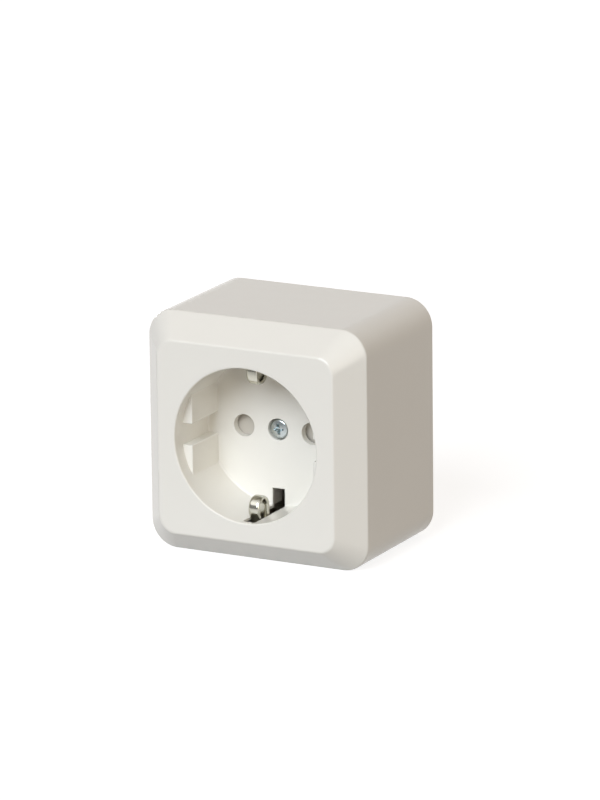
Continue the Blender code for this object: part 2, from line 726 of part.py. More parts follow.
def make_retainer(parent):
    """Plate that holds the shutter against the well's floor, with two walls as end stops."""
    plate = cylinder(RETAINER_RADIUS, RETAINER_FRONT_Y, RETAINER_BACK_Y, segments=48)
    half = SHUTTER_WING_ANGLE / 2
    play = GAP / PIN_X
    start, end = half + SHUTTER_TRAVEL + play, math.pi - half - play
    walls = []
    for turn in (0.0, math.pi):
        outline = sector(RETAINER_WALL_RADIUS, RETAINER_RADIUS - GAP, start + turn, end + turn)
        walls.append(prism(outline, SHUTTER_Y, RETAINER_FRONT_Y + RETAINER_PLATE / 2))
    through = (SHUTTER_Y - OVERSHOOT, RETAINER_BACK_Y + OVERSHOOT)
    holes = [cylinder(PIN_HOLE_RADIUS, *through, (side * PIN_X, 0.0)) for side in (-1, 1)]
    holes += [cylinder(PEG_RADIUS + GAP, *through, spot, 16) for spot in peg_centres()]
    holes.append(cylinder(BOSS_HOLE_RADIUS, *through))
    route, angle = spring_route()
    groove_y = SHUTTER_Y + route[-1][1]
    reach = SPRING_WIRE_RADIUS + GAP
    end_x = RETAINER_WALL_RADIUS + GAP * 6
    notch = box(
        (RETAINER_WALL_RADIUS - OVERSHOOT, end_x),
        (SHUTTER_Y - OVERSHOOT, groove_y + reach),
        (-reach, reach),
    )
    notch.transform(Matrix.Rotation(-angle, 4, "Y"))
    body = cut(fuse(plate, *walls), *holes, notch)
    finish = material("retainer_plastic", "DAD7D0", 0.45)
    add_part("shutter_retainer", body, finish, parent)


def make_block(parent):
    """Insulating block with a chamber for each contact, terminal pockets and the strap's groove."""
    front = BLOCK_FRONT_Y - OVERSHOOT
    body = box(
        (-BLOCK_HALF_WIDTH, BLOCK_HALF_WIDTH),
        (BLOCK_FRONT_Y, BLOCK_BACK_Y),
        (-BLOCK_HALF_HEIGHT, BLOCK_HALF_HEIGHT),
    )
    lugs = []
    for side in (-1, 1):
        x = side * LUG_OFFSET
        lugs.append(
            box(
                (x - LUG_WIDTH / 2, x + LUG_WIDTH / 2),
                (BLOCK_BACK_Y - LUG_THICKNESS, BLOCK_BACK_Y),
                (-BLOCK_HALF_HEIGHT - LUG_REACH, -BLOCK_HALF_HEIGHT + LUG_REACH),
            )
        )
    tall = (-BLOCK_HALF_HEIGHT - OVERSHOOT * 2, BLOCK_HALF_HEIGHT + OVERSHOOT * 2)
    groove = box((-GROOVE_HALF_WIDTH, GROOVE_HALF_WIDTH), (front, SHELF_Y), tall)
    shelf_half = EARTH_TERMINAL_REACH + GAP
    shelf = box((-shelf_half, shelf_half), (front, SHELF_Y), (tall[0], -EARTH_SHELF_HEIGHT))
    body = cut(fuse(body, *lugs), groove, shelf)
    half = NUT_WIDTH / 2 + GAP
    nut_pocket = box((-half, half), (SHELF_Y - OVERSHOOT, NUT_POCKET_Y), (-half, half))
    screw_way = cylinder(SCREW_HOLE_RADIUS, SHELF_Y, NUT_POCKET_Y + OVERSHOOT)
    body = cut(body, nut_pocket, screw_way, *[tool for side in (-1, 1) for tool in block_cuts(side)])
    finish = material("block_thermoplastic", "E4E2DC", 0.4)
    add_part("contact_block", body, finish, parent)


def block_cuts(side):
    """Hollows of the contact block on one side of its middle."""
    front = BLOCK_FRONT_Y - OVERSHOOT
    x = side * PIN_X
    chamber = box(
        (x - CHAMBER_HALF_WIDTH, x + CHAMBER_HALF_WIDTH),
        (front, BLOCK_FLOOR_Y),
        (-CHAMBER_HALF_HEIGHT, CHAMBER_HALF_HEIGHT),
    )
    pocket_x = side * TERMINAL_X
    pocket = box(
        (pocket_x - POCKET_HALF_WIDTH, pocket_x + POCKET_HALF_WIDTH),
        (front, BLOCK_FLOOR_Y),
        (-BLOCK_HALF_HEIGHT - OVERSHOOT, BLOCK_HALF_HEIGHT + OVERSHOOT),
    )
    neck_half = WEB_HALF_HEIGHT + GAP
    neck = box(
        sorted((x + side * CONTACT_WIDTH / 2, pocket_x - side * TERMINAL_WIDTH / 2)),
        (front, BLOCK_FLOOR_Y),
        (-neck_half, neck_half),
    )
    inner = side * (GROOVE_HALF_WIDTH + BLOCK_WALL)
    outer = pocket_x - side * (POCKET_HALF_WIDTH + BLOCK_WALL)
    well_span = sorted((inner, outer))
    core_low = CHAMBER_HALF_HEIGHT + BLOCK_WALL
    core_high = BLOCK_HALF_HEIGHT - BLOCK_WALL
    screw_pocket = box(well_span, (front, POCKET_FLOOR_Y), (core_low, core_high))
    core = box(
        well_span,
        (BLOCK_BACK_Y + OVERSHOOT, BLOCK_BACK_Y - CORE_DEPTH),
        (-core_high, -core_low),
    )
    hole_centre = (side * BLOCK_SCREW_X, BLOCK_SCREW_Z)
    screw_hole = cylinder(
        BLOCK_SCREW_RADIUS + GAP, POCKET_FLOOR_Y - OVERSHOOT, BLOCK_BACK_Y + OVERSHOOT, hole_centre, 16
    )
    tools = [chamber, pocket, neck, screw_pocket, core, screw_hole]
    for height in (-LID_PEG_Z, LID_PEG_Z):
        spot = (side * LID_PEG_X, height)
        depth = BLOCK_FRONT_Y + LID_PEG_LENGTH
        tools.append(cylinder(LID_PEG_RADIUS + GAP, front, depth, spot, 12))
    return tools


def make_lid(parent):
    """Insulating lid over the live contacts, with a hole for each pin and four pegs."""
    lid = prism(
        rounded_rectangle(LID_HALF_WIDTH, LID_HALF_HEIGHT, LID_MARGIN, 4), LID_FRONT_Y, LID_BACK_Y
    )
    pegs = []
    for side_x in (-1, 1):
        for side_z in (-1, 1):
            spot = (side_x * LID_PEG_X, side_z * LID_PEG_Z)
            end = LID_BACK_Y + LID_PEG_LENGTH
            pegs.append(cylinder(LID_PEG_RADIUS, LID_BACK_Y - LID_THICKNESS / 2, end, spot, 12))
    through = (LID_FRONT_Y - OVERSHOOT, LID_BACK_Y + OVERSHOOT)
    holes = [cylinder(PIN_HOLE_RADIUS, *through, (side * PIN_X, 0.0)) for side in (-1, 1)]
    holes.append(cylinder(SCREW_HOLE_RADIUS, *through, segments=24))
    lid = cut(fuse(lid, *pegs), *holes)
    add_part("contact_lid", lid, material("lid_thermoplastic", "DEDCD6", 0.42), parent)


def contact_mesh(side):
    """Stamped contact: a web with two spring leaves, and a plate for two terminal screws."""
    web_y = (WEB_BACK_Y + WEB_FRONT_Y) / 2
    upper = [
        (web_y, 0.0),
        (web_y, WEB_HALF_HEIGHT),
        (BLOCK_FRONT_Y + PINCH_SETBACK, PINCH_HALF_HEIGHT),
        (BLOCK_FRONT_Y + LIP_SETBACK, LIP_HALF_HEIGHT),
    ]
    half = filleted(upper, [LEAF_BEND, LEAF_BEND], 4)[1:]
    lower = [Vector((y, -z)) for y, z in half]
    path = lower[::-1] + half
    bm = ribbon(path, [CONTACT_WIDTH / 2] * len(path), SHEET)
    edge = side * CONTACT_WIDTH / 2
    pull(bm, (edge, web_y, 0.0), (side * NECK_LENGTH, 0.0, 0.0))
    edge += side * NECK_LENGTH
    pull(bm, (edge, web_y, 0.0), (side * TERMINAL_WIDTH, 0.0, 0.0))
    middle = edge + side * TERMINAL_WIDTH / 2
    bend_end = abs(half[0].y)
    for way in (-1, 1):
        grow = way * (TERMINAL_HALF_HEIGHT - bend_end)
        pull(bm, (middle, web_y, way * bend_end), (0.0, 0.0, grow))
    bm.normal_update()
    mesh = mesh_from(bm)
    through = (WEB_FRONT_Y - OVERSHOOT, WEB_BACK_Y + OVERSHOOT)
    holes = [
        cylinder(TERMINAL_SCREW_RADIUS + GAP, *through, (middle, way * TERMINAL_PITCH / 2), 16)
        for way in (-1, 1)
    ]
    return cut(mesh, *holes)


def make_contacts(parent):
    """Line contact on the right and neutral contact on the left."""
    brass = material("contact_brass", "C9A45A", 0.3, 1.0)
    for name, side in (("line_contact", 1), ("neutral_contact", -1)):
        add_part(name, contact_mesh(side), brass, parent, (side * PIN_X, 0.0, 0.0))


def strap_path():
    """Half of the strap's centre line as (y, distance from the middle), out to the spring's end."""
    back = FACE_Y + ARCH_BACK_DEPTH
    front = FACE_Y + ARCH_FRONT_DEPTH
    corners = [
        (STRAP_Y, 0.0),
        (STRAP_Y, STRAP_LEG_OFFSET),
        (back, STRAP_LEG_OFFSET),
        (back, ARCH_CREST),
        (front, ARCH_CREST),
        (front, ARCH_TAIL),
        (front + ARCH_TAIL_LEAN, ARCH_END),
    ]
    return filleted(corners, [STRAP_BEND, STRAP_BEND, ARCH_BEND, ARCH_BEND, ARCH_TAIL_BEND])


def strap_half_width(point):
    """Half width of the strap: wide on the block, narrow where it is a spring."""
    wide, narrow = STRAP_WIDTH / 2, STRAP_SPRING_WIDTH / 2
    if point[0] < STRAP_Y - STRAP_SHEET / 4:
        return narrow
    share = (point[1] - STRAP_TAPER_START) / STRAP_TAPER_LENGTH
    return wide + (narrow - wide) * min(max(share, 0.0), 1.0)


def make_earth_strap(parent):
    """Earth strap: a bridge over the block, two ears for the screws and a sprung arch at each end."""
    bends = strap_path()[1:]
    ear_low = EARTH_TERMINAL_DROP - EARTH_TERMINAL_HEIGHT / 2
    ear_high = EARTH_TERMINAL_DROP + EARTH_TERMINAL_HEIGHT / 2
    stations = [ear_low, ear_high, STRAP_TAPER_START, STRAP_TAPER_START + STRAP_TAPER_LENGTH]
    half = [Vector((STRAP_Y, offset)) for offset in stations] + bends
    widths = [strap_half_width(point) for point in half]
    lower = [Vector((point.x, -point.y)) for point in half][::-1]
    bm = ribbon(lower + half, widths[::-1] + widths, STRAP_SHEET)
    for side in (-1, 1):
        edge = side * STRAP_WIDTH / 2
        move = side * (EARTH_TERMINAL_REACH - STRAP_WIDTH / 2)
        pull(bm, (edge, STRAP_Y, -EARTH_TERMINAL_DROP), (move, 0.0, 0.0))
    mesh = mesh_from(bm)
    through = (STRAP_Y - OVERSHOOT, STRAP_Y + OVERSHOOT)
    holes = [cylinder(SCREW_HOLE_RADIUS, *through, segments=24)]
    for side in (-1, 1):
        spot = (side * EARTH_SCREW_OFFSET, -EARTH_TERMINAL_DROP)
        holes.append(cylinder(TERMINAL_SCREW_RADIUS + GAP, *through, spot, 16))
    finish = material("nickel_plated_steel", "C2BDB0", 0.25, 1.0)
    add_part("earth_strap", cut(mesh, *holes), finish, parent)


def terminal_places():
    """Name, (x, z) centre and front face of the sheet for each terminal screw."""
    places = []
    for pole, side in (("line", 1), ("neutral", -1)):
        for level, way in (("upper", 1), ("lower", -1)):
            spot = (side * TERMINAL_X, way * TERMINAL_PITCH / 2)
            places.append((f"{pole}_{level}", spot, WEB_FRONT_Y))
    for hand, side in (("right", 1), ("left", -1)):
        spot = (side * EARTH_SCREW_OFFSET, -EARTH_TERMINAL_DROP)
        places.append((f"earth_{hand}", spot, STRAP_Y - STRAP_SHEET / 2))
    return places


def make_terminals(parent):
    """Six clamp plates, each under its own screw."""
    screw = screw_mesh(
        TERMINAL_HEAD_RADIUS, TERMINAL_HEAD_HEIGHT, TERMINAL_SCREW_RADIUS, TERMINAL_SCREW_LENGTH
    )
    half = CLAMP_SIZE / 2
    plate = box((-half, half), (0.0, CLAMP_THICKNESS), (-half, half))
    plate = cut(
        plate,
        cylinder(TERMINAL_SCREW_RADIUS + GAP, -OVERSHOOT, CLAMP_THICKNESS + OVERSHOOT, segments=16),
    )
    steel = material("terminal_steel", "B4B7BB", 0.35, 1.0)
    plated = material("clamp_steel", "BDBDB8", 0.4, 1.0)
    for name, (x, z), sheet_y in terminal_places():
        clamp_y = sheet_y - CLAMP_STEP
        add_part(f"{name}_clamp_plate", plate, plated, parent, (x, clamp_y, z))
        add_part(f"{name}_terminal_screw", screw, steel, parent, (x, clamp_y - GAP, z))


def make_block_screws(parent):
    """Two screws that hold the contact block on the posts of the base."""
    mesh = screw_mesh(BLOCK_HEAD_RADIUS, BLOCK_HEAD_HEIGHT, BLOCK_SCREW_RADIUS, BLOCK_SCREW_LENGTH)
    steel = material("block_screw_steel", "AEB2B6", 0.35, 1.0)
    for name, side in (("block_screw_right", 1), ("block_screw_left", -1)):
        add_part(name, mesh, steel, parent, (side * BLOCK_SCREW_X, BLOCK_SCREW_Y, BLOCK_SCREW_Z))


def base_hook(side):
    """Hook that a lug of the contact block slides under."""
    x = side * LUG_OFFSET
    outer = BLOCK_HALF_HEIGHT + LUG_REACH + GAP + HOOK_WALL
    post_z = -BLOCK_HALF_HEIGHT - LUG_REACH - GAP
    under_y = BLOCK_BACK_Y - LUG_THICKNESS - GAP
    top_y = under_y - HOOK_TOP
    outline = [
        (BASE_FRONT_Y + BASE_THICKNESS / 2, -outer),
        (BASE_FRONT_Y + BASE_THICKNESS / 2, post_z),
        (under_y, post_z),
        (under_y, -BLOCK_HALF_HEIGHT - GAP),
        (top_y, -BLOCK_HALF_HEIGHT - GAP),
        (top_y, -outer),
    ]
    return prism(outline, x - LUG_WIDTH / 2, x + LUG_WIDTH / 2, axis="X")


def fixing_slot(side_x, side_z):
    """Slot for a wall screw, wider than it is high, so that the socket can be levelled."""
    outline = rounded_rectangle(
        FIX_SLOT_LENGTH / 2,
        FIX_SLOT_WIDTH / 2,
        FIX_SLOT_WIDTH / 2,
        6,
        (side_x * FIX_SLOT_OFFSET, side_z * ENTRY_Z),
    )
    return prism(outline, OVERSHOOT, BASE_FRONT_Y - OVERSHOOT)


def cable_entry(side, end_y):
    """Cable entry behind one side of the block, cut from the back of the plate to a depth."""
    outline = rounded_rectangle(
        CABLE_ENTRY_WIDTH / 2, CABLE_ENTRY_HEIGHT / 2, CABLE_ENTRY_RADIUS, 5, (0.0, side * ENTRY_Z)
    )
    return prism(outline, OVERSHOOT, end_y)


def make_base(parent):
    """Base plate with its rim, posts, ribs, hooks, wall-screw slots and cable entries."""
    outline = rounded_rectangle(BASE_HALF_WIDTH, BASE_HALF_HEIGHT, BASE_CORNER_RADIUS)
    inner = rounded_rectangle(
        BASE_HALF_WIDTH - BASE_RIM_WALL,
        BASE_HALF_HEIGHT - BASE_RIM_WALL,
        BASE_CORNER_RADIUS - BASE_RIM_WALL,
    )
    rim_y = BASE_FRONT_Y - BASE_RIM_HEIGHT
    body = cut(prism(outline, 0.0, rim_y), prism(inner, BASE_FRONT_Y, rim_y - OVERSHOOT))
    seat_y = BASE_FRONT_Y - BASE_RISE
    root = BASE_FRONT_Y + BASE_THICKNESS / 2
    posts, holes = [], []
    for side in (-1, 1):
        spot = (side * BLOCK_SCREW_X, BLOCK_SCREW_Z)
        posts.append(cylinder(POST_RADIUS, root, seat_y, spot, 24))
        rib_x = side * BASE_RIB_OFFSET
        rib = (rib_x - BASE_RIB_THICKNESS / 2, rib_x + BASE_RIB_THICKNESS / 2)
        posts.append(box(rib, (root, seat_y), (-BASE_RIB_HALF_HEIGHT, BASE_RIB_HALF_HEIGHT)))
        posts.append(base_hook(side))
        end = BLOCK_SCREW_Y + BLOCK_SCREW_LENGTH + GAP
        holes.append(cylinder(BLOCK_SCREW_RADIUS + GAP, end, seat_y - OVERSHOOT, spot, 16))
        holes += [fixing_slot(side, way) for way in (-1, 1)]
    holes.append(cable_entry(1, BASE_FRONT_Y - OVERSHOOT))
    holes.append(cable_entry(-1, BASE_FRONT_Y + MEMBRANE))
    body = cut(fuse(body, *posts), *holes)
    add_part("base", body, material("base_thermoplastic", "E6E4DE", 0.4), parent)


def clear_scene():
    """Removes whatever the opened file holds."""
    for old in list(bpy.data.objects):
        bpy.data.objects.remove(old, do_unlink=True)


def main():
    """Builds every sub-part under one empty at the centre of the wall face."""
    clear_scene()
    socket = bpy.data.objects.new("wall_socket", None)
    bpy.context.scene.collection.objects.link(socket)
    make_cover(socket)
    make_cover_screw(socket)
    make_shutter(socket)
    make_spring(socket)
    make_retainer(socket)
    make_block(socket)
    make_lid(socket)
    make_contacts(socket)
    make_earth_strap(socket)
    make_terminals(socket)
    make_block_screws(socket)
    make_base(socket)


main()
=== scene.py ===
"""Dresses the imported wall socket: fine meshes, real finishes, a plain studio, a fitted camera.

Metres throughout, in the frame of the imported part: the wall face lies at Y = 0, the front faces -Y,
+Z is up and the axis of the well is the Y axis. Sizes come from the part's nodes where it holds them.
"""

import logging
import math
from collections.abc import Callable, Iterator
from contextlib import contextmanager
from dataclasses import dataclass, field
from enum import Enum
from functools import cache

import bmesh
import bpy
import numpy as np
from bmesh.types import BMesh
from bpy.types import Material, Mesh, Node, NodeSocket, NodeTree, Object
from mathutils import Matrix, Vector


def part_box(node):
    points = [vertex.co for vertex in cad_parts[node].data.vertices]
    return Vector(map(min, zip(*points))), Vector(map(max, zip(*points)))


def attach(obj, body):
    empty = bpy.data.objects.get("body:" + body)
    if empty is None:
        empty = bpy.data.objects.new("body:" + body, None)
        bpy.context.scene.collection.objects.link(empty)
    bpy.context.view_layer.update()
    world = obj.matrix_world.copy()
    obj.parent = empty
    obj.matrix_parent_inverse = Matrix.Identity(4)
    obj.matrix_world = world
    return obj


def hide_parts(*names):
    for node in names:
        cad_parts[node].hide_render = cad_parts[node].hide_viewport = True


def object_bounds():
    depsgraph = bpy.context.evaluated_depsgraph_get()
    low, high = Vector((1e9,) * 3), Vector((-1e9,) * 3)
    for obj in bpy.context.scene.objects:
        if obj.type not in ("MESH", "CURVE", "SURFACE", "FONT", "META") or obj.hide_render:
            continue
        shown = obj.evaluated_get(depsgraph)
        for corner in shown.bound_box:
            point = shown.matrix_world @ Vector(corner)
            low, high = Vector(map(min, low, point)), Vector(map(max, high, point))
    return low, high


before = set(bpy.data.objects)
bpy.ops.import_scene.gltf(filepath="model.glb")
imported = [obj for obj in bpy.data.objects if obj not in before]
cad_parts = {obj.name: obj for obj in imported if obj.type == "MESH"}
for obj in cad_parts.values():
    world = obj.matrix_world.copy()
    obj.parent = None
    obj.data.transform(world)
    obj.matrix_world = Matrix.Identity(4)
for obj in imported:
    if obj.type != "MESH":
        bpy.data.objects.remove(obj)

MM = 0.001
LOG = logging.getLogger("wall_socket")
CAD_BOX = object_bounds()


class Body(Enum):
    """Bodies of the part that a piece can ride on."""

    HOUSING = "root"
    SHUTTER = "shutter_body"


class Slot(Enum):
    """Material slots of the part's record."""

    COVER = "cover"
    INNER = "inner_plastic"
    SHUTTER = "shutter_plastic"
    ZINC = "zinc_screw"
    HARDWARE = "steel_hardware"
    BRASS = "contact_brass"
    NICKEL = "nickel_spring"
    WIRE = "spring_steel"


class Operation(Enum):
    """Ways in which one closed mesh changes another."""

    JOIN = "UNION"
    CUT = "DIFFERENCE"


def linear(hex_colour: str) -> tuple[float, float, float, float]:
    """Turns an sRGB colour into linear light.

    A channel c up to 0.04045 becomes c / 12.92, and above that ((c + 0.055) / 1.055) to the
    power 2.4.

    Args:
        hex_colour: six hex digits, such as E8E6E0.

    Returns:
        Linear red, green and blue, and an alpha of 1.
    """
    channels = np.array([int(hex_colour[i : i + 2], 16) for i in (0, 2, 4)]) / 255.0
    low = channels / 12.92
    high = ((channels + 0.055) / 1.055) ** 2.4
    return (*np.where(channels <= 0.04045, low, high).tolist(), 1.0)


def add_node(tree: NodeTree, kind: str, settings: dict, links: dict) -> Node:
    """Adds one shader node.

    Args:
        tree: node tree that takes the node.
        kind: type name of the node.
        settings: values by property name, or by socket name or number.
        links: output sockets by the name or number of the input that each feeds.

    Returns:
        The new node.
    """
    node = tree.nodes.new(kind)
    for name, value in settings.items():
        if isinstance(name, str) and hasattr(node, name):
            setattr(node, name, value)
        else:
            node.inputs[name].default_value = value
    for name, source in links.items():
        tree.links.new(source, node.inputs[name])
    return node


@dataclass(frozen=True)
class Finish:
    """Surface of one real material, as a Principled shader with its own fine pattern.

    The pattern is noise on Object coordinates, `grain` millimetres across: it shifts the colour
    by `mottle`, the roughness by `sheen_shift` and lifts the surface by `relief` millimetres.
    """

    title: str
    colour: str
    roughness: float
    metallic: float = 0.0
    grain: float = 3.0
    mottle: float = 0.02
    sheen_shift: float = 0.03
    relief: float = 0.002
    stretch: tuple[float, float, float] = (1.0, 1.0, 1.0)

    def coordinates(self, tree: NodeTree) -> NodeSocket:
        """Place on the piece in millimetres, drawn out along the finish's lay.

        Args:
            tree: node tree of the material.

        Returns:
            The place as a vector socket.
        """
        place = add_node(tree, "ShaderNodeTexCoord", {}, {})
        scale = tuple(1.0 / MM / factor for factor in self.stretch)
        mapping = add_node(
            tree, "ShaderNodeMapping", {"Scale": scale}, {"Vector": place.outputs["Object"]}
        )
        return mapping.outputs["Vector"]

    def pattern(self, tree: NodeTree, place: NodeSocket) -> NodeSocket:
        """Value from 0 to 1 that the colour, the roughness and the relief follow."""
        settings = {"Scale": 1.0 / self.grain, "Detail": 3.0, "Roughness": 0.5}
        return add_node(tree, "ShaderNodeTexNoise", settings, {"Vector": place}).outputs["Fac"]

    def build(self) -> Material:
        """Makes the material.

        Returns:
            A node material named for the real one.
        """
        made = bpy.data.materials.new(self.title)
        made.use_nodes = True
        tree = made.node_tree
        shader = tree.nodes["Principled BSDF"]
        place = self.coordinates(tree)
        value = self.pattern(tree, place)
        base = linear(self.colour)
        dark = tuple(level * (1.0 - self.mottle) for level in base[:3]) + (1.0,)
        light = tuple(min(level * (1.0 + self.mottle), 1.0) for level in base[:3]) + (1.0,)
        colour = add_node(
            tree, "ShaderNodeMix", {"data_type": "RGBA", 6: dark, 7: light}, {0: value}
        )
        tree.links.new(colour.outputs[2], shader.inputs["Base Color"])
        low, high = self.roughness - self.sheen_shift, self.roughness + self.sheen_shift
        rough = add_node(
            tree, "ShaderNodeMapRange", {"To Min": low, "To Max": high}, {"Value": value}
        )
        tree.links.new(rough.outputs["Result"], shader.inputs["Roughness"])
        bump = add_node(
            tree, "ShaderNodeBump", {"Strength": 1.0, "Distance": self.relief * MM}, {"Height": value}
        )
        tree.links.new(bump.outputs["Normal"], shader.inputs["Normal"])
        shader.inputs["Metallic"].default_value = self.metallic
        self.tune(shader)
        return made

    def tune(self, shader: Node) -> None:
        """Sets what only some finishes have; a plain finish adds nothing."""


@dataclass(frozen=True)
class MouldedPlastic(Finish):
    """Injection-moulded thermoplastic: a polymer sheen over a pigmented, faintly uneven body."""

    ior: float = 1.5

    def tune(self, shader: Node) -> None:
        """Gives the plastic its refractive index."""
        shader.inputs["IOR"].default_value = self.ior


# Polished mould faces give the cover a clear gloss, with a very shallow waviness from shrinkage.
COVER_PLASTIC = MouldedPlastic(
    "polished_asa_off_white", "EFECE4", roughness=0.24,
    grain=6.0, mottle=0.006, sheen_shift=0.02, relief=0.003,
)
# Spark-eroded moulds leave the inner parts satin; the grit is drawn coarser than the real 0.05 mm.
INNER_PLASTIC = MouldedPlastic(
    "satin_polycarbonate", "DEDBD3", roughness=0.45,
    grain=0.35, mottle=0.015, sheen_shift=0.05, relief=0.006,
)
# The shutter slides, so it is a waxy acetal: greyer, softer in its sheen.
SHUTTER_PLASTIC = MouldedPlastic(
    "acetal_grey_beige", "CFC9BE", roughness=0.38,
    grain=1.2, mottle=0.012, sheen_shift=0.04, relief=0.002,
)
# Bright zinc has a cold blue cast and a slightly cloudy gloss.
ZINC_PLATE = Finish(
    "blue_zinc_plate", "BFC7C8", roughness=0.2, metallic=1.0,
    grain=0.5, mottle=0.06, sheen_shift=0.07, relief=0.004,
)
# Plain zinc on inner hardware is duller and flatter in colour.
HARDWARE_STEEL = Finish(
    "dull_zinc_plate", "B3B6BA", roughness=0.36, metallic=1.0,
    grain=0.6, mottle=0.05, sheen_shift=0.08, relief=0.004,
)
# Stamped brass sheet shows the rolling direction as fine lines along X.
STAMPED_BRASS = Finish(
    "rolled_brass", "C9A35A", roughness=0.27, metallic=1.0,
    grain=0.25, mottle=0.05, sheen_shift=0.08, relief=0.002, stretch=(8.0, 1.0, 1.0),
)
# Nickel over spring strip is warm and mirror-bright, with rolling lines along its length.
NICKEL_STRIP = Finish(
    "nickel_plated_strip", "C6C4B8", roughness=0.13, metallic=1.0,
    grain=0.2, mottle=0.03, sheen_shift=0.04, relief=0.0012, stretch=(1.0, 8.0, 8.0),
)
# Drawn wire keeps a grey, slightly streaked skin.
DRAWN_WIRE = Finish(
    "drawn_spring_wire", "A9ADB2", roughness=0.3, metallic=1.0,
    grain=0.3, mottle=0.05, sheen_shift=0.06, relief=0.001,
)


def around(angles: np.ndarray) -> np.ndarray:
    """Points (cos a, sin a) of the unit circle at angles a, along a new last axis."""
    return np.stack([np.cos(angles), np.sin(angles)], axis=-1)


def half_step_angles(count: int) -> np.ndarray:
    """Evenly spaced angles of a full turn that start half a step past zero."""
    return (np.arange(count) + 0.5) / count * math.tau


def at_stations(rings: np.ndarray, stations: np.ndarray) -> np.ndarray:
    """Puts rows x columns x 2 rings at their stations along Y."""
    y = np.broadcast_to(stations[:, None], rings.shape[:2])
    return np.stack([rings[..., 0], y, rings[..., 1]], axis=-1)


@contextmanager
def editing(source: Mesh, target: Mesh | None = None) -> Iterator[BMesh]:
    """Opens a mesh for changes, and writes them to it or to another mesh.

    Args:
        source: mesh that is read.
        target: mesh that is written, or None for the same one.

    Yields:
        The editable form of the mesh.
    """
    form = bmesh.new()
    form.from_mesh(source)
    yield form
    form.to_mesh(source if target is None else target)
    form.free()


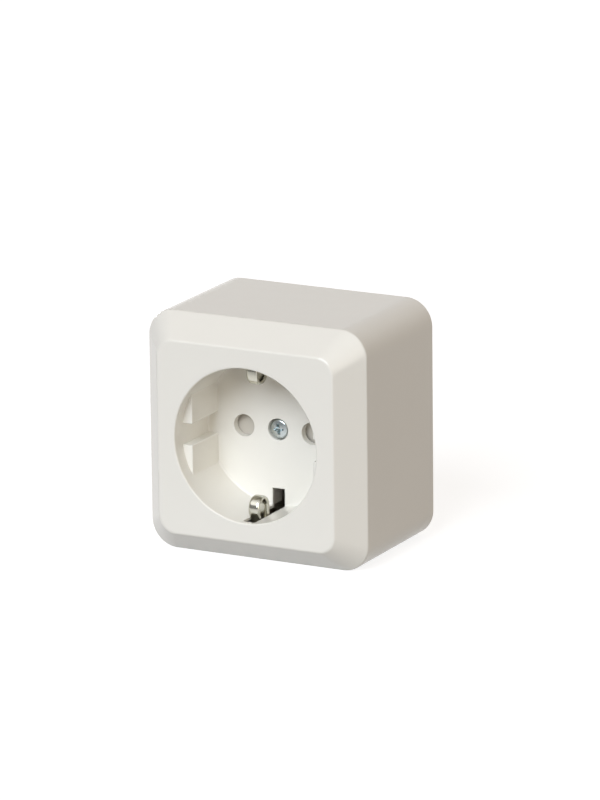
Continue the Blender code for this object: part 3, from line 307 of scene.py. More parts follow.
class Workshop:
    """Turns grids of points into objects; joins, cuts, smooths and finishes them, and hangs each on its
    body.
    """

    weld_reach: float = 0.0002 * MM
    merge_reach: float = 0.001 * MM
    flat_angle: float = math.radians(0.6)
    bevel_angle: float = math.radians(32.0)
    bevel_steps: int = 2
    normal_weight: int = 80

    def __init__(self) -> None:
        """Starts with no materials: each finish's is made once, at its first use."""
        self.material: Callable[[Finish], Material] = cache(Finish.build)

    def solid(self, name: str, grid: np.ndarray, ring: bool = False) -> Object:
        """Makes a closed object from a grid of points.

        Each row of the grid is a closed loop. Neighbouring rows are joined by four-sided faces.
        The first and last rows are either joined to each other or closed by a face each.

        Args:
            name: name of the object.
            grid: rows x columns x 3 points.
            ring: joins the last row to the first instead of closing both.

        Returns:
            The new object, its faces pointing out.
        """
        rows, columns = grid.shape[:2]
        index = np.arange(rows * columns).reshape(rows, columns)
        near = index if ring else index[:-1]
        far = np.roll(index, -1, axis=0) if ring else index[1:]
        quads = np.stack(
            [near, np.roll(near, -1, axis=1), np.roll(far, -1, axis=1), far], axis=-1
        ).reshape(-1, 4)
        sizes = np.full(len(quads), 4)
        corners = quads.reshape(-1)
        if not ring:
            corners = np.concatenate([corners, index[0][::-1], index[-1]])
            sizes = np.concatenate([sizes, [columns, columns]])
        mesh = bpy.data.meshes.new(name)
        mesh.vertices.add(rows * columns)
        mesh.vertices.foreach_set("co", grid.astype(np.float32).reshape(-1))
        mesh.loops.add(len(corners))
        mesh.loops.foreach_set("vertex_index", corners.astype(np.int32))
        mesh.polygons.add(len(sizes))
        starts = np.concatenate([[0], np.cumsum(sizes)[:-1]])
        mesh.polygons.foreach_set("loop_start", starts.astype(np.int32))
        mesh.update(calc_edges=True)
        mesh.validate()
        with editing(mesh) as form:
            bmesh.ops.recalc_face_normals(form, faces=form.faces[:])
        return self.place(name, mesh)

    def prism(
        self, name: str, outline: np.ndarray, ends: tuple[float, float], axis: int = 1
    ) -> Object:
        """Makes a prism from its outline.

        Args:
            name: name of the object.
            outline: N x 2 points, in the order of the other two axes.
            ends: where the prism starts and ends.
            axis: number of the axis that it runs along, 1 being Y.

        Returns:
            The new object.
        """
        return self.solid(name, np.stack([np.insert(outline, axis, end, axis=1) for end in ends]))

    def turned(
        self, name: str, section: np.ndarray, centre: np.ndarray, angles: np.ndarray
    ) -> Object:
        """Makes a round body about an axis along Y.

        Each point is the centre plus its radius times (cos a, sin a), at its station along Y.

        Args:
            name: name of the object.
            section: (radius, y) pairs from one end to the other.
            centre: (x, z) of the axis.
            angles: angles of the columns.

        Returns:
            The new object.
        """
        rings = centre + section[:, :1, None] * around(angles)
        return self.solid(name, at_stations(rings, section[:, 1]))

    @staticmethod
    def place(name: str, mesh: Mesh) -> Object:
        """Object at the origin that holds a mesh.

        Args:
            name: name of the object.
            mesh: mesh that it holds.

        Returns:
            The new object.
        """
        made = bpy.data.objects.new(name, mesh)
        bpy.context.scene.collection.objects.link(made)
        return made

    @staticmethod
    def evaluated(target: Object) -> Mesh:
        """The object's mesh with its modifiers applied.

        Args:
            target: object with live modifiers.

        Returns:
            A new mesh.
        """
        graph = bpy.context.evaluated_depsgraph_get()
        graph.update()
        return bpy.data.meshes.new_from_object(target.evaluated_get(graph))

    def shaped(self, target: Object, tools: list[Object], operation: Operation) -> Object:
        """Joins tools to an object or cuts them from it, with an exact Boolean for each.

        The result's points are welded where the cuts left two of them in one place.

        Args:
            target: object that changes.
            tools: closed objects, which are used up.
            operation: whether the tools are joined or cut.

        Returns:
            The same object, with its new mesh.
        """
        for tool in tools:
            modifier = target.modifiers.new(operation.name.lower(), "BOOLEAN")
            modifier.operation = operation.value
            modifier.solver = "EXACT"
            modifier.object = tool
        mesh = self.evaluated(target)
        target.modifiers.clear()
        with editing(mesh) as form:
            bmesh.ops.remove_doubles(form, verts=form.verts[:], dist=self.weld_reach)
        target.data = mesh
        for tool in tools:
            bpy.data.objects.remove(tool, do_unlink=True)
        return target

    def softened(self, name: str, node: str, width: float) -> Object:
        """Merged copy of a node whose sharp edges are rounded.

        Args:
            name: name of the copy.
            node: node of the part.
            width: width of the rounded edges in metres.

        Returns:
            The copy as a new object.
        """
        mesh = bpy.data.meshes.new(name)
        with editing(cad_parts[node].data, mesh) as form:
            bmesh.ops.remove_doubles(form, verts=form.verts[:], dist=self.merge_reach)
            bmesh.ops.dissolve_limit(
                form, angle_limit=self.flat_angle, verts=form.verts[:], edges=form.edges[:]
            )
        mesh.materials.clear()
        copy = self.place(name, mesh)
        bevel = copy.modifiers.new("edge_rounds", "BEVEL")
        bevel.width = width
        bevel.segments = self.bevel_steps
        bevel.limit_method = "ANGLE"
        bevel.angle_limit = self.bevel_angle
        bevel.use_clamp_overlap = True
        rounded = self.evaluated(copy)
        copy.modifiers.clear()
        copy.data = rounded
        return copy

    def finished(
        self,
        piece: Object,
        finish: Finish,
        slot: Slot,
        nodes: list[str],
        body: Body = Body.HOUSING,
        sharp: float = 38.0,
    ) -> Object:
        """Shades a piece, gives it its finish, hides the nodes that it stands for and hangs it on the
        empty of its body.

        Args:
            piece: finished mesh object.
            finish: surface that it gets.
            slot: not used.
            nodes: nodes of the part that it stands for.
            body: body that it rides on.
            sharp: angle in degrees above which an edge stays sharp.

        Returns:
            The same object.
        """
        mesh = piece.data
        mesh.shade_smooth()
        mesh.set_sharp_from_angle(angle=math.radians(sharp))
        weighted = piece.modifiers.new("weighted_normals", "WEIGHTED_NORMAL")
        weighted.keep_sharp = True
        weighted.weight = self.normal_weight
        shaded = self.evaluated(piece)
        piece.modifiers.clear()
        shaded.materials.clear()
        shaded.materials.append(self.material(finish))
        piece.data = shaded
        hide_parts(*nodes)
        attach(piece, body.value)
        LOG.info("%s: %d faces, %s", piece.name, len(shaded.polygons), finish.title)
        return piece


def rounded_path(corners: list[tuple[float, float]], radii: list[float], steps: int) -> np.ndarray:
    """Open polyline whose inner corners are arcs that touch both sides.

    Each arc is centred on the corner's bisector, at radius / sin(half angle) from the corner.

    Args:
        corners: corner points in a plane.
        radii: one radius for each inner corner; a radius of 0 leaves the corner sharp.
        steps: straight steps in each arc.

    Returns:
        Points as an N x 2 array.
    """
    points = [np.array([corners[0]], float)]
    for before, corner, after, radius in zip(corners, corners[1:], corners[2:], radii):
        middle = np.array(corner, float)
        if radius <= 0.0:
            points.append(middle[None])
            continue
        back = np.array(before) - middle
        ahead = np.array(after) - middle
        back, ahead = back / np.linalg.norm(back), ahead / np.linalg.norm(ahead)
        half = math.acos(np.clip(back @ ahead, -1.0, 1.0)) / 2
        bisector = (back + ahead) / np.linalg.norm(back + ahead)
        centre = middle + bisector * radius / math.sin(half)
        start = (middle + back * radius / math.tan(half) - centre) / radius
        end = (middle + ahead * radius / math.tan(half) - centre) / radius
        turn = math.acos(np.clip(start @ end, -1.0, 1.0))
        share = np.linspace(0.0, 1.0, steps + 1)[:, None]
        mixed = (np.sin((1 - share) * turn) * start + np.sin(share * turn) * end) / math.sin(turn)
        points.append(centre + radius * mixed)
    points.append(np.array([corners[-1]], float))
    return np.concatenate(points)


def refined(path: np.ndarray, longest: float) -> np.ndarray:
    """Adds points to a path so that no step is longer than a limit.

    Args:
        path: N x k points.
        longest: longest step allowed.

    Returns:
        The path with its own points kept and evenly spaced ones between them.
    """
    pieces = []
    for start, end in zip(path[:-1], path[1:]):
        count = max(1, math.ceil(np.linalg.norm(end - start) / longest))
        share = np.arange(count)[:, None] / count
        pieces.append(start + (end - start) * share)
    return np.concatenate(pieces + [path[-1:]])


def edge_flare(radius: float, steps: int, start: float = 0.0) -> np.ndarray:
    """Quarter round at the mouth of a cut.

    At an angle a the depth is radius (1 - cos a) and the widening radius (1 - sin a).

    Args:
        radius: radius of the round.
        steps: straight steps in it.
        start: angle at which it starts; 0 is at the surface.

    Returns:
        (depth, widening) pairs.
    """
    angle = np.linspace(start, math.pi / 2, steps + 1)
    return np.stack([radius * (1 - np.cos(angle)), radius * (1 - np.sin(angle))], axis=1)


@dataclass
class RoundedSquare:
    """Outline of the cover at any depth: four straight sides and four round corners.

    The columns are shared with circles: a column's polar angle on the inner square is its angle
    on every circle, so that a flat face between the two is a fan of even quads.
    """

    half_width: float
    half_height: float
    corner_radius: float
    face_radius: float
    full_inset: float
    side_steps: int = 40
    corner_steps: int = 24
    angles: np.ndarray = field(init=False)

    def __post_init__(self) -> None:
        """Works out the polar angle of each column on the inner square."""
        inner = self.ring(self.full_inset)
        self.angles = np.arctan2(inner[:, 1], inner[:, 0])

    def ring(self, inset: float, wall: float = 0.0) -> np.ndarray:
        """Closed outline drawn in by an inset and a wall.

        The sides lie inside the half width or height by the inset and the wall. The corner radius
        goes evenly from the outer one to the face's while the inset grows to the full one, and is
        less by the wall.

        Args:
            inset: distance inside the outer side; the corner radius shrinks with it.
            wall: further distance inwards, which keeps the corners' centres.

        Returns:
            Columns x 2 points, (x, z), counterclockwise from the right side's lower end.
        """
        share = min(inset / self.full_inset, 1.0)
        radius = self.corner_radius + (self.face_radius - self.corner_radius) * share - wall
        width = self.half_width - inset - wall
        height = self.half_height - inset - wall
        quarters = []
        for quarter in range(4):
            turn = quarter * math.pi / 2
            long, short = (width, height) if quarter % 2 == 0 else (height, width)
            run = np.linspace(-(short - radius), short - radius, self.side_steps, endpoint=False)
            side = np.stack([np.full_like(run, long), run], axis=1)
            bend = np.linspace(0.0, math.pi / 2, self.corner_steps, endpoint=False)
            corner = np.array([long, short]) - radius + radius * around(bend)
            local = np.concatenate([side, corner])
            cosine, sine = math.cos(turn), math.sin(turn)
            quarters.append(local @ np.array([[cosine, sine], [-sine, cosine]]))
        return np.concatenate(quarters)

    def circle(self, radius: float) -> np.ndarray:
        """Circle with the same columns."""
        return radius * around(self.angles)


@dataclass
class SocketCover:
    """Moulded cover: bevelled square box, round well, guides, slots, ribs, boss and pegs."""

    shop: Workshop
    bevel_inset: float = 5.9 * MM
    bevel_depth: float = 7.1 * MM
    corner_radius: float = 7.0 * MM
    face_corner_radius: float = 4.5 * MM
    crease_radius: float = 0.95 * MM
    rear_round: float = 0.3 * MM
    wall: float = 2.0 * MM
    well_radius: float = 19.7 * MM
    well_depth: float = 17.5 * MM
    well_wall: float = 1.6 * MM
    rim_round: float = 0.4 * MM
    floor_round: float = 0.6 * MM
    floor: float = 2.0 * MM
    guide_reach: float = 2.9 * MM
    guide_setback: float = 4.0 * MM
    guide_channel: float = 5.5 * MM
    guide_wall: float = 1.2 * MM
    guide_round: float = 0.3 * MM
    guide_corner: float = 0.36 * MM
    slot_width: float = 3.36 * MM
    slot_setback: float = 1.6 * MM
    slot_height: float = 4.5 * MM
    slot_round: float = 0.16 * MM
    slot_steps: int = 6
    slot_through: float = 2.08 * MM
    slot_lip: float = 0.7 * MM
    slot_relief: float = 1.3 * MM
    slot_relief_end: float = 3.04 * MM
    pin_x: float = 9.5 * MM
    pin_hole_radius: float = 2.85 * MM
    pin_hole_round: float = 0.15 * MM
    seat_radius: float = 2.8 * MM
    seat_depth: float = 1.9 * MM
    seat_round: float = 0.15 * MM
    screw_hole_radius: float = 1.8 * MM
    boss_radius: float = 4.2 * MM
    rib_offset: float = 12.0 * MM
    rib_thickness: float = 1.2 * MM
    screen_gap: float = 0.15 * MM
    screen_thickness: float = 1.1 * MM
    screen_end: float = 5.6 * MM
    screen_lead: float = 0.6 * MM
    peg_radius: float = 1.1 * MM
    peg_chamfer: float = 0.275 * MM
    peg_circle: float = 11.5 * MM
    peg_angle: float = math.radians(125.0)
    overshoot: float = 1.0 * MM
    round_margin: float = 1.3
    outer_row: float = 4.0 * MM
    well_row: float = 1.6 * MM

    def __post_init__(self) -> None:
        """Reads the stations along Y from the cover's node."""
        low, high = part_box("cover")
        self.face_y, self.back_y = low.y, high.y
        self.floor_y = self.face_y + self.well_depth
        self.floor_back_y = self.floor_y + self.floor
        self.crease_y = self.face_y + self.bevel_depth
        self.boss_end_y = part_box("shutter_retainer")[1].y
        self.guide_chord = self.well_radius - self.guide_reach
        self.square = RoundedSquare(
            high.x, high.z, self.corner_radius, self.face_corner_radius, self.bevel_inset
        )

    def square_rows(self, section: np.ndarray, wall: float = 0.0) -> np.ndarray:
        """Square rings along a section of (inset, y) points."""
        rings = [self.square.ring(max(inset, 0.0), wall) for inset, _ in section]
        return at_stations(np.stack(rings), section[:, 1])

    def round_rows(self, section: np.ndarray) -> np.ndarray:
        """Circular rings along a section of (radius, y) points."""
        rings = np.stack([self.square.circle(radius) for radius, _ in section])
        return at_stations(rings, section[:, 1])

    @staticmethod
    def fan(outer: np.ndarray, inner: np.ndarray, rows: int) -> np.ndarray:
        """Rows between two rings: each point moves straight from one to the other."""
        share = np.linspace(0.0, 1.0, rows + 2)[1:-1, None, None]
        return outer + (inner - outer) * share

    def outer_rows(self) -> np.ndarray:
        """Rear edge, side, soft crease, bevel, second crease and the margin of the flat face.

        Returns:
            Rows of the cover's outside, from the back to the front.
        """
        section = rounded_path(
            [
                (self.wall / 2, self.back_y),
                (0.0, self.back_y),
                (0.0, self.crease_y),
                (self.bevel_inset, self.face_y),
                (self.bevel_inset + self.crease_radius * self.round_margin, self.face_y),
            ],
            [self.rear_round, self.crease_radius, self.crease_radius],
            steps=10,
        )
        return self.square_rows(refined(section, self.outer_row))

    def well_rows(self) -> np.ndarray:
        """Rim, well wall, floor, screw seat and screw hole, down the front of the moulding.

        Returns:
            Rows of the well, from the front to the end of the boss.
        """
        section = rounded_path(
            [
                (self.well_radius + self.rim_round * self.round_margin, self.face_y),
                (self.well_radius, self.face_y),
                (self.well_radius, self.floor_y),
                (self.seat_radius, self.floor_y),
                (self.seat_radius, self.floor_y + self.seat_depth),
                (self.screw_hole_radius, self.floor_y + self.seat_depth),
                (self.screw_hole_radius, self.boss_end_y),
            ],
            [self.rim_round, self.floor_round, self.seat_round, 0.0, 0.0],
            steps=8,
        )
        return self.round_rows(refined(section, self.well_row))

    def rear_rows(self) -> np.ndarray:
        """Boss, back of the floor and outside of the well's tube, up to the back of the face.

        Returns:
            Rows of the well's rear side, from the boss outwards.
        """
        section = np.array(
            [
                (self.boss_radius, self.boss_end_y),
                (self.boss_radius, self.floor_back_y),
                (self.well_radius + self.well_wall, self.floor_back_y),
                (self.well_radius + self.well_wall, self.face_y + self.wall),
            ]
        )
        return self.round_rows(refined(section, self.outer_row))

    def cavity_rows(self) -> np.ndarray:
        """Back of the flat face, of the bevel and of the sides, out to the rear edge.

        Returns:
            Rows of the cavity, from the front to the back.
        """
        crease_y, front_y, inset = self.bevel_behind(self.wall)
        section = np.array([(inset, front_y), (0.0, crease_y), (0.0, self.back_y)])
        return self.square_rows(refined(section, self.outer_row), self.wall)

    def bevel_behind(self, depth: float) -> tuple[float, float, float]:
        """Line that runs behind the bevel at a depth below the cover's outside.

        Its outer end lies behind the outer crease by the depth times tan(slope / 2), the slope
        being the bevel's angle to the side, and its inner end behind the face by the depth.

        Args:
            depth: distance from the outside.

        Returns:
            Y of its outer end, y of its inner end, and the distance inwards from one to the other.
        """
        slope = math.atan2(self.bevel_inset, self.bevel_depth)
        crease_y = self.crease_y + depth * math.tan(slope / 2)
        front_y = self.face_y + depth
        return crease_y, front_y, (crease_y - front_y) * self.bevel_inset / self.bevel_depth

    def shell(self) -> Object:
        """Closed skin of the moulding as one ring of rows, from the rear edge round to itself.

        Returns:
            The moulding without its guides, ribs, pegs, holes and slots.
        """
        outer, well = self.outer_rows(), self.well_rows()
        rear, cavity = self.rear_rows(), self.cavity_rows()
        face = self.fan(outer[-1], well[0], rows=3)
        back = self.fan(rear[-1], cavity[0], rows=2)
        grid = np.concatenate([outer, face, well, rear, back, cavity])
        return self.shop.solid("cover_shell", grid, ring=True)

    def guide(self, side_x: int, side_z: int) -> Object:
        """Flat-sided block with rounded edges that keeps a plug from turning.

        At an inset d the block's flat sides lie d further in and their corner's radius is d less,
        so the front edges are quarter rounds that run evenly round the corner.

        Args:
            side_x: 1 for the right side of the well, -1 for the left.
            side_z: 1 for the upper block, -1 for the lower.

        Returns:
            The block, whose outer side lies inside the well's wall.
        """
        reach = self.well_radius + self.well_wall / 2
        front = self.face_y + self.guide_setback
        flare = edge_flare(self.guide_round, steps=6)
        stations = [(front + depth, inset) for depth, inset in flare]
        stations.append((self.floor_y + self.floor / 2, 0.0))
        low = self.guide_channel / 2
        rows = [
            np.insert(self.guide_outline(self.guide_chord, low, reach, inset), 1, y, axis=1)
            for y, inset in stations
        ]
        return self.shop.solid("guide", np.stack(rows) * [side_x, 1.0, side_z])

    def guide_outline(self, chord: float, low: float, reach: float, inset: float) -> np.ndarray:
        """Outline of a guide block in the upper right quarter, as (x, z) points.

        Args:
            chord: distance of its upright side from the middle.
            low: height of its level side.
            reach: radius of the arc behind it.
            inset: how far the two flat sides are drawn in.

        Returns:
            Closed outline with a round corner between the flat sides.
        """
        angles = np.linspace(math.asin(low / reach), math.acos(chord / reach), 13)
        buried = reach * around(angles)
        bend = np.linspace(math.pi, math.pi * 1.5, 9)
        corner = np.array([chord, low]) + self.guide_corner
        corner = corner + (self.guide_corner - inset) * around(bend)
        top = np.array([[chord + inset, buried[-1, 1]]])
        return np.concatenate([buried[:-1], top, corner])

    def guide_core(self, side_x: int, side_z: int) -> Object:
        """Hollow that cores a guide block from behind to the thickness of the other walls.

        Args:
            side_x: 1 for the right side of the well, -1 for the left.
            side_z: 1 for the upper block, -1 for the lower.

        Returns:
            The cutter.
        """
        chord, low = self.guide_chord + self.guide_wall, self.guide_channel / 2 + self.guide_wall
        reach = self.well_radius + self.well_wall - self.guide_wall
        outline = self.guide_outline(chord, low, reach, 0.0) * [side_x, side_z]
        front = self.face_y + self.guide_setback + self.guide_wall
        return self.shop.prism("guide_core", outline, (front, self.floor_back_y + self.overshoot))

    def earth_slot(self, side: int) -> Object:
        """Cutter for an earth slot, which runs down the well's wall and on across the floor.

        Its rows lie side by side across the slot. Within the slot's width a row is an angle-shaped
        band that goes right through the wall and the floor. Beyond it, the band is only as deep as
        the quarter round at the slot's mouth is there, so that the mouth's edges come out rounded.

        Args:
            side: 1 for the upper slot, -1 for the lower.

        Returns:
            The cutter, one closed prism.
        """
        flare = edge_flare(self.slot_round, self.slot_steps, start=0.2)[:-1]
        half = self.slot_width / 2
        through = np.full(2, self.slot_through)
        depths = np.concatenate([flare[:, 0], through, flare[::-1, 0]])
        across = np.concatenate([-half - flare[:, 1], [-half, half], half + flare[::-1, 1]])
        rows = [
            np.insert(self.slot_outline(depth) * [1.0, side], 0, x, axis=1)
            for depth, x in zip(depths, across)
        ]
        return self.shop.solid("earth_slot", np.stack(rows))

    def slot_relief_cut(self, side: int) -> Object:
        """Cutter that widens an earth slot behind its lip, where the mould's core parts from it.

        Args:
            side: 1 for the upper slot, -1 for the lower.

        Returns:
            The cutter, an angle-shaped prism behind the well's wall and floor.
        """
        surface = math.sqrt(self.well_radius**2 - (self.slot_width / 2) ** 2)
        near, far = self.slot_lip, self.slot_relief_end
        front = self.face_y + self.slot_setback + self.slot_lip
        inner = self.well_radius - self.slot_height + self.slot_lip / 2
        outline = np.array(
            [
                (front, surface + near),
                (self.floor_y + near, surface + near),
                (self.floor_y + near, inner),
                (self.floor_y + far, inner),
                (self.floor_y + far, surface + far),
                (front, surface + far),
            ]
        )
        half = self.slot_width / 2 + self.slot_relief
        return self.shop.prism("slot_relief", outline * [1.0, side], (-half, half), axis=0)

    def slot_outline(self, depth: float) -> np.ndarray:
        """Angle-shaped band from the slot's front end to its inner end, as (y, height) points.

        At a depth t both ends are wider by r - sqrt(r^2 - (r - t)^2), r being the mouth's round.

        Args:
            depth: how far the band reaches into the wall and the floor.

        Returns:
            Closed outline whose two ends widen towards the surface by the mouth's round.
        """
        surface = math.sqrt(self.well_radius**2 - (self.slot_width / 2) ** 2)
        front, inner = self.face_y + self.slot_setback, self.well_radius - self.slot_height
        share = np.arange(self.slot_steps) / self.slot_steps
        depths = np.append(share * min(depth, self.slot_round), depth)
        short = self.slot_round - np.minimum(depths, self.slot_round)
        widening = self.slot_round - np.sqrt(self.slot_round**2 - short**2)
        ends = np.stack([depths, widening], axis=1)
        past = self.overshoot
        down = np.stack([front - ends[:, 1], surface + ends[:, 0]], axis=1)
        up = np.stack([self.floor_y + ends[::-1, 0], inner - ends[::-1, 1]], axis=1)
        turn = [(self.floor_y + depth, surface + depth)]
        void = [(self.floor_y - past, up[-1, 1]), (self.floor_y - past, surface - past)]
        return np.concatenate([down, turn, up, void, [(down[0, 0], surface - past)]])

    def pin_hole(self, side: int) -> Object:
        """Cutter for a pin hole with a small round at its mouth.

        Args:
            side: 1 for the right hole, -1 for the left.

        Returns:
            The cutter.
        """
        widest = self.pin_hole_radius + self.pin_hole_round
        section = [(widest, self.floor_y - self.overshoot)]
        for depth, widening in edge_flare(self.pin_hole_round, steps=5):
            section.append((self.pin_hole_radius + widening, self.floor_y + depth))
        section.append((self.pin_hole_radius, self.floor_back_y + self.overshoot))
        centre = np.array([side * self.pin_x, 0.0])
        return self.shop.turned("pin_hole", np.array(section), centre, half_step_angles(64))

    def rib(self, offset: float, side: int, upright: bool) -> Object:
        """Stiffening rib between the well's tube and one side wall, rooted in the middle of both.

        Args:
            offset: distance of the rib from the middle of the cover.
            side: which of the two opposite walls it meets.
            upright: whether it stands above and below the well, not beside it.

        Returns:
            The rib as a prism.
        """
        mid = self.well_radius + self.well_wall / 2
        start = math.sqrt(mid**2 - offset**2)
        end = (self.square.half_height if upright else self.square.half_width) - self.wall / 2
        crease_y, front_y, inset = self.bevel_behind(self.wall / 2)
        outline = np.array(
            [
                (self.floor_y, start),
                (front_y, start),
                (front_y, end - inset),
                (crease_y, end),
                (self.floor_y, end),
            ]
        )
        outline = outline * [1.0, side]
        ends = (offset - self.rib_thickness / 2, offset + self.rib_thickness / 2)
        if upright:
            return self.shop.prism("rib", outline, ends, axis=0)
        return self.shop.prism("rib", outline[:, ::-1], ends, axis=2)

    def screen(self, side_x: int, side_z: int) -> Object:
        """Low wall beside an earth slot, on the back of the floor, along the strap's leg.

        Args:
            side_x: 1 for the wall on the right of the slot, -1 for the left.
            side_z: 1 for the upper slot, -1 for the lower.

        Returns:
            The wall, rooted in the middle of the floor.
        """
        near = self.slot_width / 2 + self.slot_relief + self.screen_gap
        far = near + self.screen_thickness
        low = self.well_radius - self.slot_height - self.screen_lead
        high = self.well_radius + self.well_wall / 2
        outline = np.array([(near, low), (near, high), (far, high), (far, low)]) * [side_x, side_z]
        ends = (self.floor_back_y - self.floor / 2, self.floor_back_y + self.screen_end)
        return self.shop.prism("screen", outline, ends)

    def peg(self, side: int) -> Object:
        """Peg that carries the shutter's retainer, chamfered at its end.

        Args:
            side: 1 for the upper peg, -1 for the lower one, half a turn on.

        Returns:
            The peg, rooted in the middle of the floor.
        """
        section = np.array(
            [
                (self.peg_radius, self.floor_back_y - self.floor / 2),
                (self.peg_radius, self.boss_end_y - self.peg_chamfer),
                (self.peg_radius - self.peg_chamfer, self.boss_end_y),
            ]
        )
        centre = side * self.peg_circle * around(np.array(self.peg_angle))
        angles = np.linspace(0.0, math.tau, 32, endpoint=False)
        return self.shop.turned("peg", section, centre, angles)

    def build(self) -> Object:
        """Makes the cover and puts it in place of its node.

        Returns:
            The finished cover.
        """
        shell = self.shell()
        shell.name = "moulded_cover"
        joined = [self.guide(x, z) for x in (-1, 1) for z in (-1, 1)]
        joined += [self.screen(x, z) for x in (-1, 1) for z in (-1, 1)]
        joined += [self.peg(side) for side in (-1, 1)]
        for offset in (-self.rib_offset, self.rib_offset):
            for side in (-1, 1):
                joined += [self.rib(offset, side, upright) for upright in (True, False)]
        self.shop.shaped(shell, joined, Operation.JOIN)
        cuts = [self.guide_core(x, z) for x in (-1, 1) for z in (-1, 1)]
        cuts += [self.pin_hole(side) for side in (-1, 1)]
        cuts += [self.slot_relief_cut(side) for side in (-1, 1)]
        cuts += [self.earth_slot(side) for side in (-1, 1)]
        self.shop.shaped(shell, cuts, Operation.CUT)
        return self.shop.finished(shell, COVER_PLASTIC, Slot.COVER, ["cover"])


@dataclass
class RecessedScrew:
    """Pan-head screw with a tapered cross recess and a rolled thread, along +Y from its head.

    The crown's two ends are shares of the head's radius, and the edge's lift is one of the crown's.
    The crown's lift, the rounds of shoulder and underside and the recess's depth are shares of the
    head's height. The tip is a share of the shank's radius, and the runs are counted in pitches.
    """

    shop: Workshop
    node: str
    finish: Finish
    slot: Slot
    head_radius: float
    head_height: float
    shank_radius: float
    pitch: float = 0.6 * MM
    thread_depth: float = 0.2 * MM
    columns: int = 72
    rows_per_pitch: int = 10
    crown_start: float = 0.05
    crown: float = 0.72
    crown_lift: float = 0.16
    edge_lift: float = 1.5
    shoulder: float = 0.42
    underside_round: float = 0.12
    tip: float = 0.7
    plain_run: float = 0.4
    lead_run: float = 1.5
    tip_run: float = 2.0
    recess_depth: float = 0.8
    recess_turn: float = 0.14
    recess_levels: tuple[float, ...] = (-0.3, 0.0, 0.4, 0.8, 1.0)

    def __post_init__(self) -> None:
        """Reads the screw's place from its node."""
        low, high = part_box(self.node)
        self.x, self.z = (low.x + high.x) / 2, (low.z + high.z) / 2
        self.front_y, self.end_y = low.y, high.y

    def head_section(self) -> np.ndarray:
        """Half section of the head: a low crown, a round shoulder and the flat underside.

        The crown falls by its lift times the square of the way from the middle to its edge.

        Returns:
            (radius, y) points from the middle of the head to the shank.
        """
        crown = np.linspace(self.crown_start, self.crown, 7)
        lift = self.head_height * self.crown_lift
        fall = lift * (crown / self.crown) ** 2
        top = np.stack([self.head_radius * crown, self.front_y + fall], axis=1)
        under_y = self.front_y + self.head_height
        shoulder = rounded_path(
            [
                tuple(top[-1]),
                (self.head_radius, self.front_y + lift * self.edge_lift),
                (self.head_radius, under_y),
                (self.shank_radius, under_y),
            ],
            [self.head_height * self.shoulder, self.head_height * self.underside_round],
            steps=6,
        )
        return np.concatenate([top, shoulder[1:]])

    def surface(self) -> np.ndarray:
        """Grid of the whole screw.

        Down the shank the radius is the crest radius less the thread depth times one less a squared
        wave of (y / pitch - angle / full turn), which is a helix. The thread runs in under the
        head over lead_run, and the shank tapers to the tip over tip_run.

        Returns:
            rows x columns x 3 points.
        """
        angles = np.linspace(0.0, math.tau, self.columns, endpoint=False)
        head = self.head_section()
        start = head[-1, 1] + self.pitch * self.plain_run
        runs = max(int((self.end_y - start) / self.pitch * self.rows_per_pitch), 8)
        y = np.linspace(start, self.end_y, runs)
        phase = (y[:, None] / self.pitch - angles / math.tau) % 1.0
        wave = 0.5 + 0.5 * np.cos(math.tau * phase)
        taper = np.clip((self.end_y - y) / (self.tip_run * self.pitch), 0.0, 1.0)[:, None]
        lead = np.clip((y - start) / (self.lead_run * self.pitch), 0.0, 1.0)[:, None]
        depth = self.thread_depth * (1 - wave**2 * lead)
        radius = (self.shank_radius - depth) * (self.tip + (1 - self.tip) * taper)
        radii = np.concatenate([np.broadcast_to(head[:, :1], (len(head), self.columns)), radius])
        rings = np.array([self.x, self.z]) + radii[..., None] * around(angles)
        return at_stations(rings, np.concatenate([head[:, 1], y]))

    def recess(self) -> Object:
        """Cross-shaped cutter whose wings get shorter and narrower with depth.

        At a share t of the depth a wing reaches to (0.6 - 0.25 t) and is (0.16 - 0.11 t) wide to
        each side, in head radii; between two wings the outline runs round a central cone of
        (0.34 - 0.24 t). A wing's two end corners are cut off, by 0.4 of its half width along it
        and by 0.5 across it.

        Returns:
            The cutter, a closed prism with star-shaped rows.
        """
        depth = self.head_height * self.recess_depth
        rows = []
        for level in self.recess_levels:
            length, half, core = 0.6 - 0.25 * level, 0.16 - 0.11 * level, 0.34 - 0.24 * level
            valley = np.linspace(math.asin(half / core), math.pi / 2 - math.asin(half / core), 5)
            wing = np.concatenate(
                [
                    [(length - half * 0.4, -half), (length, -half * 0.5), (length, half * 0.5)],
                    [(length - half * 0.4, half)],
                    core * around(valley),
                ]
            )
            angles = self.recess_turn + np.arange(4)[:, None] * math.pi / 2
            x = wing[:, 0] * np.cos(angles) - wing[:, 1] * np.sin(angles)
            z = wing[:, 0] * np.sin(angles) + wing[:, 1] * np.cos(angles)
            ring = np.stack([x.reshape(-1), z.reshape(-1)], axis=1) * self.head_radius
            centred = ring + [self.x, self.z]
            rows.append(np.insert(centred, 1, self.front_y + level * depth, axis=1))
        return self.shop.solid("recess", np.stack(rows))

    def build(self, name: str) -> Object:
        """Makes the screw and puts it in place of its node.

        Args:
            name: name of the finished screw.

        Returns:
            The finished screw.
        """
        screw = self.shop.solid(name, self.surface())
        self.shop.shaped(screw, [self.recess()], Operation.CUT)
        return self.shop.finished(screw, self.finish, self.slot, [self.node], sharp=42.0)


